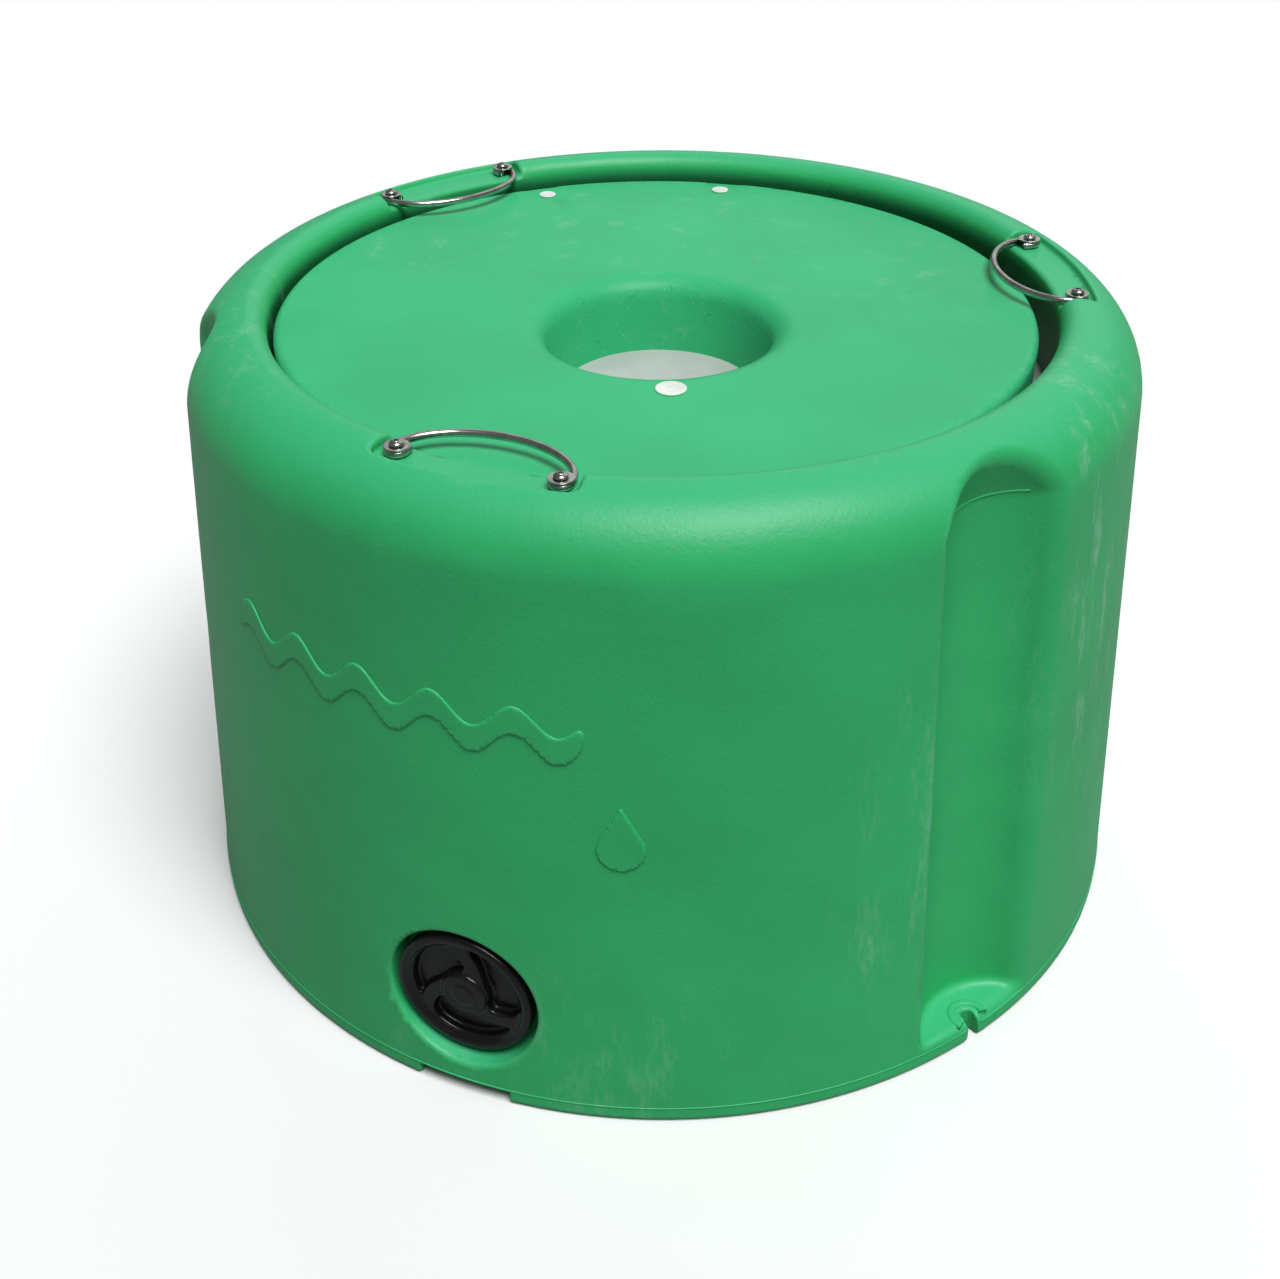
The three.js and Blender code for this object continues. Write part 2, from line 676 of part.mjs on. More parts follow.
// A pocket between two of the hand wheel's curved arms, which trail behind by
// ARM_SWEEP degrees on their way in to the hub.
const ARM_SWEEP = 32;
const FIRST_ARM_AT = 82;
function pocketOutline(turn) {
  const outer = DRAIN_PLUG_RADIUS - 16;
  const inner = 0.44 * outer;
  const armHalf = 0.17 * outer;
  const points = [];
  const add = (share, angle) => {
    const r = inner + share * (outer - inner);
    const a = rad(turn + ARM_SWEEP * (share - 0.5) + angle);
    points.push([r * Math.cos(a), r * Math.sin(a)]);
  };
  const clear = (share) => deg(armHalf / (inner + share * (outer - inner)));
  for (let i = 0; i <= 4; i++) add(i / 4, clear(i / 4));
  for (let i = 1; i <= 9; i++) add(1, clear(1) + (i / 10) * (120 - 2 * clear(1)));
  for (let i = 4; i >= 0; i--) add(i / 4, 120 - clear(i / 4));
  for (let i = 4; i >= 1; i--) add(0, clear(0) + (i / 5) * (120 - 2 * clear(0)));
  return points;
}

const plug = (() => {
  const wheel = turned(
    [
      [0, plugLow - 18],
      [DRAIN_NECK_RADIUS - 6, plugLow - 18],
      [DRAIN_NECK_RADIUS - 6, plugLow - DRAIN_NECK_LENGTH],
      [DRAIN_NECK_RADIUS, plugLow - DRAIN_NECK_LENGTH],
      [DRAIN_NECK_RADIUS, plugLow],
      [DRAIN_PLUG_RADIUS - 2, plugLow],
      [DRAIN_PLUG_RADIUS, plugLow + 3],
      [DRAIN_PLUG_RADIUS, plugTop - 5],
      [DRAIN_PLUG_RADIUS - 1.5, plugTop - 1.5],
      [DRAIN_PLUG_RADIUS - 5, plugTop],
      [DRAIN_PLUG_RADIUS - 10, plugTop - 2],
      [DRAIN_PLUG_RADIUS - 15, plugTop - 5],
      [29, plugTop - 4],
      [24, plugTop - 1],
      [21, plugTop],
      [13, plugTop],
      [12, plugTop + 1.5],
      [0, plugTop + 1.5],
    ],
    40,
  );
  const turns = [0, 120, 240].map((turn) => FIRST_ARM_AT + turn);
  const pockets = turns.map((turn) => pushed(pocketOutline(turn), plugTop - 15, plugTop + 5));
  return wheel.subtract(all(pockets));
})();
const atDrain = (body) => outward(body, -drainFloorY, DRAIN_Z);
piece("drain_bush", atDrain(bush), "black");
piece("drain_seal", atDrain(seal), "rubber");
piece("drain_plug", atDrain(plug), "black");

// ---------- water inlet and float valve ----------
// Built about the pipe's axis with the lever towards -Y, then turned to reach back
// under the lid, clear of the drinking hole.
const atInlet = (body) => body.rotate([0, 0, 180]).translate([0, INLET_AT, 0]);
const pipeTop = VALVE_Z - 14;
const pipe = turnedRing(
  [
    [INLET_BORE, 14],
    [INLET_RADIUS, 14],
    [INLET_RADIUS, pipeTop],
    [INLET_BORE, pipeTop],
  ],
  20,
);
piece("inlet_pipe", atInlet(pipe), "black");
const nutRing = (low, high) =>
  upright(INLET_NUT_RADIUS, low, high, 6).subtract(upright(INLET_RADIUS + GAP + 0.2, low - 1, high + 1, 20));
piece("inlet_nut_low", atInlet(nutRing(UNDER_HEIGHT - GAP - 14, UNDER_HEIGHT - GAP)), "black");
const gasketLow = TANK_FLOOR_Z + GAP;
const gasket = turnedRing(
  [
    [INLET_RADIUS + GAP, gasketLow],
    [INLET_NUT_RADIUS + 4, gasketLow],
    [INLET_NUT_RADIUS + 4, gasketLow + 3],
    [INLET_RADIUS + GAP, gasketLow + 3],
  ],
  20,
);
piece("inlet_gasket", atInlet(gasket), "rubber");
const topNutLow = gasketLow + 3 + GAP;
piece("inlet_nut_top", atInlet(nutRing(topNutLow, topNutLow + 14)), "black");

// The valve sits on the pipe: a bored block with a fork for the lever.
const pinY = -PIN_FROM_PIPE;
const pinZ = VALVE_Z + 8;
const FORK_HALF = 12;
const LEVER_HALF = 5;
const PIN_RADIUS = 3;
const valveBody = (() => {
  const socket = upright(INLET_RADIUS + 6, pipeTop - 22, VALVE_Z + 22, 20);
  const nose = upright(13, 0, 32, 16).rotate([90, 0, 0]).translate([0, 0, VALVE_Z + 2]);
  const arms = [-1, 1].map((side) =>
    block(
      side > 0 ? LEVER_HALF + 1.5 : -FORK_HALF,
      side > 0 ? FORK_HALF : -LEVER_HALF - 1.5,
      pinY - 8,
      -20,
      pinZ - 8,
      pinZ + 8,
    ),
  );
  const bore = upright(INLET_RADIUS + GAP + 0.2, pipeTop - 30, pipeTop + GAP, 20);
  const water = upright(7, pipeTop - 1, VALVE_Z + 8, 12);
  const jet = upright(6, 0, 40, 16).rotate([90, 0, 0]).translate([0, 0, VALVE_Z + 2]);
  const pinHole = solid(new THREE.CylinderGeometry(PIN_RADIUS + 0.4, PIN_RADIUS + 0.4, 60, 14))
    .rotate([0, 0, 90])
    .translate([0, pinY, pinZ]);
  return all([socket, nose, ...arms]).subtract(all([bore, water, jet])).subtract(pinHole);
})();
piece("valve_body", atInlet(valveBody), "white");

const pin = solid(new THREE.CylinderGeometry(PIN_RADIUS, PIN_RADIUS, 2 * FORK_HALF + 4, 14))
  .rotate([0, 0, 90])
  .translate([0, pinY, pinZ]);
piece("lever_pin", atInlet(pin), "steel");

const plungerOut = -33;
const plunger = upright(5.4, 0, 22, 16)
  .rotate([90, 0, 0])
  .translate([0, plungerOut + 22, VALVE_Z + 2]);
piece("valve_plunger", atInlet(plunger), "brass");

// The lever hangs between the fork's arms; its short heel stops just off the plunger.
const floatY = pinY - LEVER_LENGTH;
const lever = (() => {
  const eye = solid(new THREE.CylinderGeometry(7, 7, 2 * LEVER_HALF, 16))
    .rotate([0, 0, 90])
    .translate([0, pinY, pinZ]);
  const bar = block(-LEVER_HALF + 1, LEVER_HALF - 1, floatY + 20, pinY, pinZ - 4, pinZ + 4);
  const hole = solid(new THREE.CylinderGeometry(PIN_RADIUS + 0.4, PIN_RADIUS + 0.4, 60, 14))
    .rotate([0, 0, 90])
    .translate([0, pinY, pinZ]);
  return eye.add(bar).subtract(hole);
})();
piece("float_lever", atInlet(lever), "brass");
const ball = solid(new THREE.SphereGeometry(FLOAT_RADIUS, 20, 12))
  .rotate([90, 0, 0])
  .translate([0, floatY, pinZ]);
const ballSocket = block(-5, 5, floatY + 18, floatY + 80, pinZ - 5, pinZ + 5);
piece("float_ball", atInlet(ball.subtract(ballSocket)), "blue");

export default part;
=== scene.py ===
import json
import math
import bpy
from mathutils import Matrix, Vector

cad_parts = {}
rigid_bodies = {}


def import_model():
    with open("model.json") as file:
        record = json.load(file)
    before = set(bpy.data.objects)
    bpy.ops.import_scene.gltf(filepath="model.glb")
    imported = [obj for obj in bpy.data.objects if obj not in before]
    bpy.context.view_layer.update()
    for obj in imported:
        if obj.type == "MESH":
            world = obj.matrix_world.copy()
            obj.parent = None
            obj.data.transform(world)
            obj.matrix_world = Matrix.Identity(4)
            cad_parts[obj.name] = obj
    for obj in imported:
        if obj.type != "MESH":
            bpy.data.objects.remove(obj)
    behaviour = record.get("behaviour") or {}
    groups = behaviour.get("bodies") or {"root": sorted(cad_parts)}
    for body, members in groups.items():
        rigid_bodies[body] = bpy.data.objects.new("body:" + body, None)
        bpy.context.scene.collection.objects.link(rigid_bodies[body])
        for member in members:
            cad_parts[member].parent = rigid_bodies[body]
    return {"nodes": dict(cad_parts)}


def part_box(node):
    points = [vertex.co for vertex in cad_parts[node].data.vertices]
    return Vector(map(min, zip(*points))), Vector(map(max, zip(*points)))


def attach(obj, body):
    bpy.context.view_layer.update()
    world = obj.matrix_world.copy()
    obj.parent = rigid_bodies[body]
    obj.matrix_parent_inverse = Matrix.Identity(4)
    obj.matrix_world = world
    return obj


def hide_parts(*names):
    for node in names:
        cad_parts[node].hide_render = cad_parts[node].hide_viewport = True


bl_info = {
    "name": "Insulated Livestock Drinker",
    "version": (1, 0, 0),
    "blender": (4, 5, 0),
    "location": "View3D > Sidebar > Drinker",
    "description": "Finished look of a round insulated drinker with a floating lid",
    "category": "Object",
}

import bpy
import numpy as np
import openvdb
from mathutils import Matrix, Vector

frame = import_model()

MM = 0.001
DEGREE = math.pi / 180
LID_LOW, LID_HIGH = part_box("lid_shell")
BODY_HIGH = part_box("body_shell")[1]
PLUG_LOW, PLUG_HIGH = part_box("drain_plug")

SCOOP_AZIMUTHS = (60, 180, 300)
LOOP_AZIMUTHS = (0, 120, 240)
FILL_AZIMUTHS = (30, 150, 270)
SCREW_HALF_ANGLE = 10.6
SCOOP_BEND_DROP = 64 * MM

LENS, SENSOR = 48.07, 36
CAMERA_AZIMUTH, CAMERA_DISTANCE, CAMERA_HEIGHT = 22, 1.760, 1.410
CAMERA_ASIDE, CAMERA_DOWN, CAMERA_ROLL = 0.86, 33.79, -0.31
FLOOR_HALF_SIDE, FLOOR_LEVEL = 12, -0.5 * MM
SKY_LIGHT, SKY_SEEN = 0.15, 0.80


# ---------- sizes and colours ----------
def length(name, description, default):
    return bpy.props.FloatProperty(
        name=name, description=description, default=default, min=0, unit="LENGTH", precision=4
    )


def colour(name, description, default):
    return bpy.props.FloatVectorProperty(
        name=name, description=description, default=default, min=0, max=1, size=3, subtype="COLOR"
    )


class DrinkerBodySizes(bpy.types.PropertyGroup):
    """Sizes of the moulded body."""

    height: length("Height", "Ground to the crest of the rim", BODY_HIGH.z)
    base_radius: length("Base radius", "Radius of the wall at the ground", 558 * MM)
    draft: bpy.props.FloatProperty(
        name="Wall draft", description="How much the wall leans in per unit of height", default=45 / 700
    )
    shoulder_radius: length("Shoulder radius", "Rounding from the wall to the crest", 80 * MM)
    mouth_radius: length("Mouth radius", "Radius of the opening that the lid floats in", 426 * MM)
    lip_radius: length("Lip radius", "Rounding from the crest into the mouth", 20 * MM)
    tank_floor: length("Tank floor", "Height of the tank's floor", 90 * MM)
    scoop_radius: length("Scoop radius", "Radius of the upright channels in the wall", 88 * MM)
    scoop_depth: length("Scoop depth", "How far the channels go into the wall", 50 * MM)
    scoop_edge: length("Scoop edge", "Rounding where a channel meets the wall", 11 * MM)
    foot_height: length("Foot height", "Top of the ledge under each channel", 28 * MM)
    land_height: length("Land height", "Flat seat of the retaining loops", 686 * MM)
    drain_height: length("Drain height", "Centre of the drain above the ground", 127 * MM)
    drain_mouth: length("Drain mouth", "Radius of the drain's recess at the wall", 86 * MM)
    mark_relief: length("Mark relief", "Height of the raised marks", 1.6 * MM)
    grid: length("Grid", "Spacing of the grid that the surface is meshed on", 3.6 * MM)


class DrinkerLidSizes(bpy.types.PropertyGroup):
    """Sizes of the floating lid."""

    top: length("Top", "Height of the lid's top face", LID_HIGH.z)
    thickness: length("Thickness", "Thickness of the lid", LID_HIGH.z - LID_LOW.z)
    radius: length("Radius", "Radius of the lid", (LID_HIGH.x - LID_LOW.x) / 2)
    edge: length("Edge", "Rounding of the top edge", 10 * MM)
    hole_offset: length("Hole offset", "Drinking hole's centre from the lid's", 50 * MM)
    hole_radius: length("Hole radius", "Radius of the hole where it meets the top", 142 * MM)
    hole_fillet: length("Hole fillet", "Rounding of the hole's top edge", 21 * MM)
    azimuth: bpy.props.FloatProperty(
        name="Azimuth", description="Side of the drinking hole", default=26.5 * DEGREE, subtype="ANGLE"
    )
    dimple_radius: length("Dimple radius", "Radius of the shallow dish round a rear plug", 35 * MM)
    grid: length("Grid", "Spacing of the grid that the surface is meshed on", 3.2 * MM)


class DrinkerHardwareSizes(bpy.types.PropertyGroup):
    """Sizes of the loops, their screws and the drain plug."""

    rod: length("Rod radius", "Radius of the retaining loops' rod", 3.9 * MM)
    bolt_circle: length("Bolt circle", "Screws' distance from the body's axis", 447 * MM)
    apex: length("Loop apex", "Nearest point of a loop to the body's axis", 378 * MM)
    washer: length("Washer radius", "Radius of the washers", 12.5 * MM)
    head: length("Screw head radius", "Radius of the domed screw heads", 7 * MM)
    plug: length(
        "Drain plug radius", "Radius of the drain plug's hand wheel", (PLUG_HIGH.x - PLUG_LOW.x) / 2
    )


class DrinkerColours(bpy.types.PropertyGroup):
    """Colours of the finishes."""

    body_green: colour("Body green", "Moulded wall", (0.026, 0.440, 0.136))
    lid_green: colour("Lid green", "Moulded lid", (0.038, 0.455, 0.186))
    bleached: colour("Bleached", "Green faded by sun and rubbing", (0.110, 0.520, 0.270))
    scuff: colour("Scuff", "Whitish rubbed plastic", (0.330, 0.600, 0.440))
    white: colour("White", "Filling plugs and float valve", (0.710, 0.760, 0.720))
    black: colour("Black", "Drain plug, pipe and nuts", (0.005, 0.005, 0.0045))
    rubber: colour("Rubber", "Seals and gaskets", (0.011, 0.011, 0.011))
    steel: colour("Steel", "Loops, screws and washers", (0.560, 0.545, 0.525))
    brass: colour("Brass", "Inserts, lever and plunger", (0.600, 0.420, 0.190))
    foam: colour("Foam", "Insulation inside the walls", (0.760, 0.680, 0.420))
    blue: colour("Blue", "Float", (0.030, 0.120, 0.330))


# ---------- shaping ----------
def round_common(a, b, radius):
    """Keeps what two distance fields share, with a rounded outer edge."""
    corner = np.hypot(np.maximum(radius + a, 0), np.maximum(radius + b, 0))
    return np.minimum(-radius, np.maximum(a, b)) + corner


def carve(a, b, radius):
    """Cuts b out of a with a rounded edge."""
    return round_common(a, -b, radius)


def arc(x, y, radius, start, stop, steps):
    angles = [(start + (stop - start) * i / steps) * DEGREE for i in range(steps + 1)]
    return [(x + radius * math.cos(a), y + radius * math.sin(a)) for a in angles]


class Outline:
    """Signed distance to a closed flat outline, negative inside, looked up from a table."""

    def __init__(self, points, spacing=1.5 * MM, margin=30 * MM):
        points = np.array(points, float)
        self.spacing = spacing
        self.low = points.min(0) - margin
        self.count = np.ceil((points.max(0) + margin - self.low) / spacing).astype(int) + 1
        x = (self.low[0] + spacing * np.arange(self.count[0]))[:, None]
        y = (self.low[1] + spacing * np.arange(self.count[1]))[None, :]
        nearest = np.full(self.count, 1e9)
        inside = np.zeros(self.count, bool)
        for (x0, y0), (x1, y1) in zip(points, np.roll(points, -1, 0)):
            dx, dy = x1 - x0, y1 - y0
            if dx * dx + dy * dy < 1e-14:
                continue
            t = np.clip(((x - x0) * dx + (y - y0) * dy) / (dx * dx + dy * dy), 0, 1)
            nearest = np.minimum(nearest, (x - x0 - t * dx) ** 2 + (y - y0 - t * dy) ** 2)
            if dy:
                inside ^= ((y0 > y) != (y1 > y)) & (x < x0 + (y - y0) * dx / dy)
        self.table = np.where(inside, -1, 1) * np.sqrt(nearest)

    def __call__(self, x, y):
        u = np.clip((x - self.low[0]) / self.spacing, 0, self.count[0] - 1.001)
        v = np.clip((y - self.low[1]) / self.spacing, 0, self.count[1] - 1.001)
        i, j = u.astype(np.int32), v.astype(np.int32)
        u, v = u - i, v - j
        t = self.table
        low = t[i, j] * (1 - u) + t[i + 1, j] * u
        high = t[i, j + 1] * (1 - u) + t[i + 1, j + 1] * u
        return low * (1 - v) + high * v


def turned_outline(points, **settings):
    """An outline of (radius, height) points that ends on the axis, with its mirror image."""
    return Outline([*points, *[(-x, y) for x, y in reversed(points)]], **settings)


def slope_and_bend(field, points, step=0.6 * MM):
    """The field, its unit slope and its bend (1 / radius, positive on outer edges) at points."""
    middle = field(*points.T)
    slope = np.zeros(points.shape)
    bend = -6 * middle
    for axis in range(3):
        shift = np.zeros(3)
        shift[axis] = step
        above, below = field(*(points + shift).T), field(*(points - shift).T)
        slope[:, axis] = above - below
        bend += above + below
    slope /= np.maximum(np.linalg.norm(slope, axis=1), 1e-12)[:, None]
    return middle, slope, bend / step**2


def on_surface(field, points, grid, passes):
    """The points, moved along the field's slope onto its surface."""
    for _ in range(passes):
        gap, slope = slope_and_bend(field, points)[:2]
        points = points - slope * np.clip(gap, -grid, grid)[:, None]
    return points


def unfolded(field, points, faces, grid, rounds=4):
    """The points, with those of folded faces drawn to the middle of their neighbours."""
    corners = [np.array([f for f in faces if len(f) == n]).reshape(-1, n) for n in (3, 4)]
    links = np.concatenate([np.stack([c, np.roll(c, 1, 1)], -1).reshape(-1, 2) for c in corners])
    start, end = np.concatenate([links, links[:, ::-1]]).T
    count = np.maximum(np.bincount(start, minlength=len(points)), 1)
    for _ in range(rounds):
        slope = slope_and_bend(field, points)[1]
        marked = np.zeros(len(points), bool)
        for c in corners:
            normal = np.cross(points[c[:, 2]] - points[c[:, 0]], points[c[:, -1]] - points[c[:, 1]])
            normal /= np.maximum(np.linalg.norm(normal, axis=1), 1e-12)[:, None]
            agreement = (normal * slope[c].mean(1)).sum(1)
            marked[c[agreement < 0.75].ravel()] = True
        sums = [np.bincount(start, points[end, k], len(points)) for k in range(3)]
        middle = np.stack(sums, 1) / count[:, None]
        points = np.where(marked[:, None], middle, points)
        points = on_surface(field, points, grid, 3)
    return points


def meshed(field, low, high, grid, adaptivity):
    """Points, faces, normals and bends of the surface where the field is zero."""
    block = 5
    low = np.array(low, float) - 4 * grid
    blocks = np.ceil((np.array(high) + 4 * grid - low) / (grid * block)).astype(int)
    centres = [low[i] + grid * block * (np.arange(blocks[i]) + 0.5) for i in range(3)]
    coarse = field(*np.meshgrid(*centres, indexing="ij"))
    reach = grid * block
    values = np.clip(coarse, -reach, reach)
    for axis in range(3):
        values = np.repeat(values, block, axis)
    near = np.argwhere(np.abs(coarse) < 1.5 * reach)
    batch = 20000
    inner = np.stack(np.meshgrid(*[np.arange(block)] * 3, indexing="ij"), -1).reshape(-1, 3)
    for start in range(0, len(near), batch):
        cells = (near[start : start + batch, None, :] * block + inner[None]).reshape(-1, 3)
        fine = field(*(low + grid * (cells + 0.5)).T)
        values[cells[:, 0], cells[:, 1], cells[:, 2]] = np.clip(fine, -reach, reach)
    volume = openvdb.FloatGrid(float(reach))
    volume.copyFromArray(values.astype(np.float32))
    points, triangles, quads = volume.convertToPolygons(isovalue=0.0, adaptivity=adaptivity)
    points = on_surface(field, low + grid * (points.astype(float) + 0.5), grid, 4)
    faces = [tuple(f) for f in quads.tolist() + triangles.tolist()]
    points = unfolded(field, points, faces, grid)
    _, slope, bend = slope_and_bend(field, points)
    return points, faces, slope, bend


def new_piece(name, points, faces, material, smooth=True):
    mesh = bpy.data.meshes.new(name)
    mesh.from_pydata([tuple(p) for p in points], [], faces)
    mesh.validate()
    mesh.polygons.foreach_set("use_smooth", [smooth] * len(mesh.polygons))
    mesh.materials.append(material)
    piece = bpy.data.objects.new(name, mesh)
    bpy.context.scene.collection.objects.link(piece)
    return piece


def shaded(piece, normals):
    """Gives a piece's first points the exact normals of the surface they were found on."""
    mesh = piece.data
    every = np.zeros(3 * len(mesh.vertices), np.float32)
    mesh.vertex_normals.foreach_get("vector", every)
    every = every.reshape(-1, 3)
    every[: len(normals)] = normals
    mesh.normals_split_custom_set_from_vertices(every.tolist())


def outward_faces(points, faces):
    """The faces, all turned over if they enclose a negative volume."""
    points = np.array(points, float)
    volume = 0
    for face in faces:
        a = points[face[0]]
        for b, c in zip(face[1:-1], face[2:]):
            volume += a @ np.cross(points[b], points[c])
    return [tuple(reversed(f)) for f in faces] if volume < 0 else list(faces)


def turned_form(profile, segments=64):
    """Points and faces of a profile of (radius, height) points turned about the Z axis.
    An end at radius 0 closes to a point; a profile that ends where it starts is a ring."""
    ring = math.dist(profile[0], profile[-1]) < 1e-9
    if ring:
        profile = profile[:-1]
    points, rows = [], []
    for r, z in profile:
        if r < 1e-9:
            rows.append([len(points)] * segments)
            points.append((0, 0, z))
        else:
            rows.append([len(points) + k for k in range(segments)])
            angles = [2 * math.pi * k / segments for k in range(segments)]
            points += [(r * math.cos(a), r * math.sin(a), z) for a in angles]
    faces = []
    pairs = list(zip(rows, rows[1:])) + ([(rows[-1], rows[0])] if ring else [])
    for row, following in pairs:
        for k in range(segments):
            n = (k + 1) % segments
            corners = tuple(dict.fromkeys((row[k], row[n], following[n], following[k])))
            if len(corners) > 2:
                faces.append(corners)
    return points, outward_faces(points, faces)


def swept_form(path, section):
    """Points and faces of a closed flat section, pairs of (level, up), carried along a path
    that lies level. The ends are closed."""
    path = np.array(path, float)
    along = np.gradient(path, axis=0)
    along[:, 2] = 0
    along /= np.linalg.norm(along, axis=1)[:, None]
    level = np.stack([along[:, 1], -along[:, 0], 0 * along[:, 0]], 1)
    count = len(section)
    points = []
    for place, side in zip(path, level):
        points += [tuple(place + side * a + np.array((0, 0, b))) for a, b in section]
    faces = []
    for row in range(len(path) - 1):
        for k in range(count):
            n = (k + 1) % count
            low = row * count
            faces.append((low + k, low + n, low + count + n, low + count + k))
    faces.append(tuple(range(count)))
    last = (len(path) - 1) * count
    faces.append(tuple(reversed(range(last, last + count))))
    return points, outward_faces(points, faces)


def round_section(radius, count):
    """The section of a round rod, for swept_form."""
    turns = np.linspace(0, 2 * math.pi, count + 1)[:-1]
    return [(radius * math.cos(t), radius * math.sin(t)) for t in turns]


def placed(points, azimuth, radius=0.0, height=0.0):
    """Points built round the Z axis, moved out along an azimuth. Azimuth 0 is -Y, 90 is +X."""
    turn = Matrix.Rotation(azimuth * DEGREE, 4, "Z") @ Matrix.Translation((0, -radius, height))
    return [tuple(turn @ Vector(p)) for p in points]


def merged(forms):
    """One list of points and faces out of several."""
    points, faces = [], []
    for some_points, some_faces in forms:
        shift = len(points)
        points += list(some_points)
        faces += [tuple(i + shift for i in f) for f in some_faces]
    return points, faces


def facing(x, y, azimuth):
    """Distance out along an azimuth, and to its side."""
    s, c = math.sin(azimuth * DEGREE), math.cos(azimuth * DEGREE)
    return x * s - y * c, x * c + y * s


def store(piece, name, values):
    """Keeps one number per point on a piece, for its material."""
    kept = piece.data.attributes.new(name, "FLOAT", "POINT")
    kept.data.foreach_set("value", np.asarray(values, np.float32))


# ---------- shader parts ----------
def node(tree, kind, inputs=None, **settings):
    made = tree.nodes.new(kind)
    for key, value in settings.items():
        setattr(made, key, value)
    for key, value in (inputs or {}).items():
        if isinstance(value, bpy.types.NodeSocket):
            tree.links.new(value, made.inputs[key])
        else:
            made.inputs[key].default_value = value
    return made


def maths(tree, operation, *values):
    return node(tree, "ShaderNodeMath", dict(enumerate(values)), operation=operation).outputs[0]


def times(tree, a, b):
    return maths(tree, "MULTIPLY", a, b)


def vector_maths(tree, operation, *values):
    return node(tree, "ShaderNodeVectorMath", dict(enumerate(values)), operation=operation).outputs


def cells_at(tree, place, scale, **settings):
    return node(tree, "ShaderNodeTexVoronoi", {"Vector": place, "Scale": scale}, **settings).outputs


def noise(tree, place, scale, detail, kind="FBM", **inputs):
    inputs |= {"Vector": place, "Scale": scale, "Detail": detail}
    return node(tree, "ShaderNodeTexNoise", inputs, noise_type=kind).outputs["Fac"]


def ramped(tree, value, low, high, to_low=0.0, to_high=1.0):
    """The value mapped smoothly from low..high to to_low..to_high."""
    inputs = {"Value": value, "From Min": low, "From Max": high, "To Min": to_low, "To Max": to_high}
    return node(tree, "ShaderNodeMapRange", inputs, interpolation_type="SMOOTHSTEP").outputs[0]


def blended(tree, factor, a, b):
    mixer = node(tree, "ShaderNodeMix", {0: factor, 6: a, 7: b}, data_type="RGBA")
    return mixer.outputs[2]


def rgba(values, factor=1):
    """A colour for a shader, made darker or lighter by the factor."""
    return (*[c * factor for c in values], 1.0)


def object_place(tree):
    return node(tree, "ShaderNodeTexCoord").outputs["Object"]


def new_group(name, inputs, outputs):
    """An empty shader group with float inputs (name: default) and outputs (name: socket type)."""
    group = bpy.data.node_groups.new(name, "ShaderNodeTree")
    for key, default in inputs.items():
        vector = isinstance(default, tuple)
        kind = "NodeSocketVector" if vector else "NodeSocketFloat"
        group.interface.new_socket(key, in_out="INPUT", socket_type=kind).default_value = default
    for key in outputs:
        group.interface.new_socket(key, in_out="OUTPUT", socket_type="NodeSocketFloat")
    given = group.nodes.new("NodeGroupInput").outputs
    made = group.nodes.new("NodeGroupOutput").inputs
    return group, given, made


def moulded_grain_group():
    """The orange peel and slow waviness of a rotomoulded skin, as a height."""
    group, given, made = new_group(
        "Moulded Grain", {"Grain Scale": 700.0, "Grain": 1.0, "Waviness": 1.0}, ["Height", "Speckle"]
    )
    place = object_place(group)
    peel = noise(group, place, given["Grain Scale"], 2.0)
    pits_scale = times(group, given["Grain Scale"], 0.42)
    pits = cells_at(group, place, pits_scale, feature="SMOOTH_F1")
    wave = noise(group, place, 9.0, 1.0)
    peel_height = times(group, peel, given["Grain"])
    pit_height = times(group, pits["Distance"], given["Grain"])
    wave_height = times(group, wave, given["Waviness"])
    fine = maths(group, "MULTIPLY_ADD", peel_height, 0.00022, times(group, pit_height, 0.00016))
    height = maths(group, "MULTIPLY_ADD", wave_height, 0.0045, fine)
    group.links.new(height, made["Height"])
    group.links.new(ramped(group, peel, 0.35, 0.65), made["Speckle"])
    return group


def region_group():
    """A soft round patch about a point."""
    group, given, made = new_group(
        "Region", {"Centre": (0.0, 0.0, 0.0), "Radius": 0.1, "Stretch": (1.0, 1.0, 1.0)}, ["Mask"]
    )
    away = vector_maths(group, "SUBTRACT", object_place(group), given["Centre"])[0]
    scaled = vector_maths(group, "MULTIPLY", away, given["Stretch"])[0]
    distance = vector_maths(group, "LENGTH", scaled)["Value"]
    share = maths(group, "DIVIDE", distance, given["Radius"])
    group.links.new(ramped(group, share, 1.0, 0.25), made["Mask"])
    return group


def scuff_group():
    """Rubbed whitish marks: broken patches, fine strokes and specks."""
    group, given, made = new_group(
        "Scuffs", {"Amount": 0.5, "Stroke": (1.0, 1.0, 1.0), "Scale": 60.0}, ["Mask", "Strokes"]
    )
    place = object_place(group)
    drawn = vector_maths(group, "MULTIPLY", place, given["Stroke"])[0]
    patch = noise(group, drawn, given["Scale"], 6.0, Roughness=0.72)
    fine_scale = times(group, given["Scale"], 7.0)
    fine = noise(group, drawn, fine_scale, 3.0)
    line = noise(group, place, 38.0, 2.0, "RIDGED_MULTIFRACTAL", Distortion=1.6)
    low = maths(group, "SUBTRACT", 0.78, times(group, given["Amount"], 0.42))
    high = maths(group, "ADD", low, 0.22)
    broken = times(group, ramped(group, patch, low, high), ramped(group, fine, 0.3, 0.62))
    strokes = ramped(group, line, 1.15, 1.5)
    group.links.new(broken, made["Mask"])
    group.links.new(times(group, strokes, given["Amount"]), made["Strokes"])
    return group


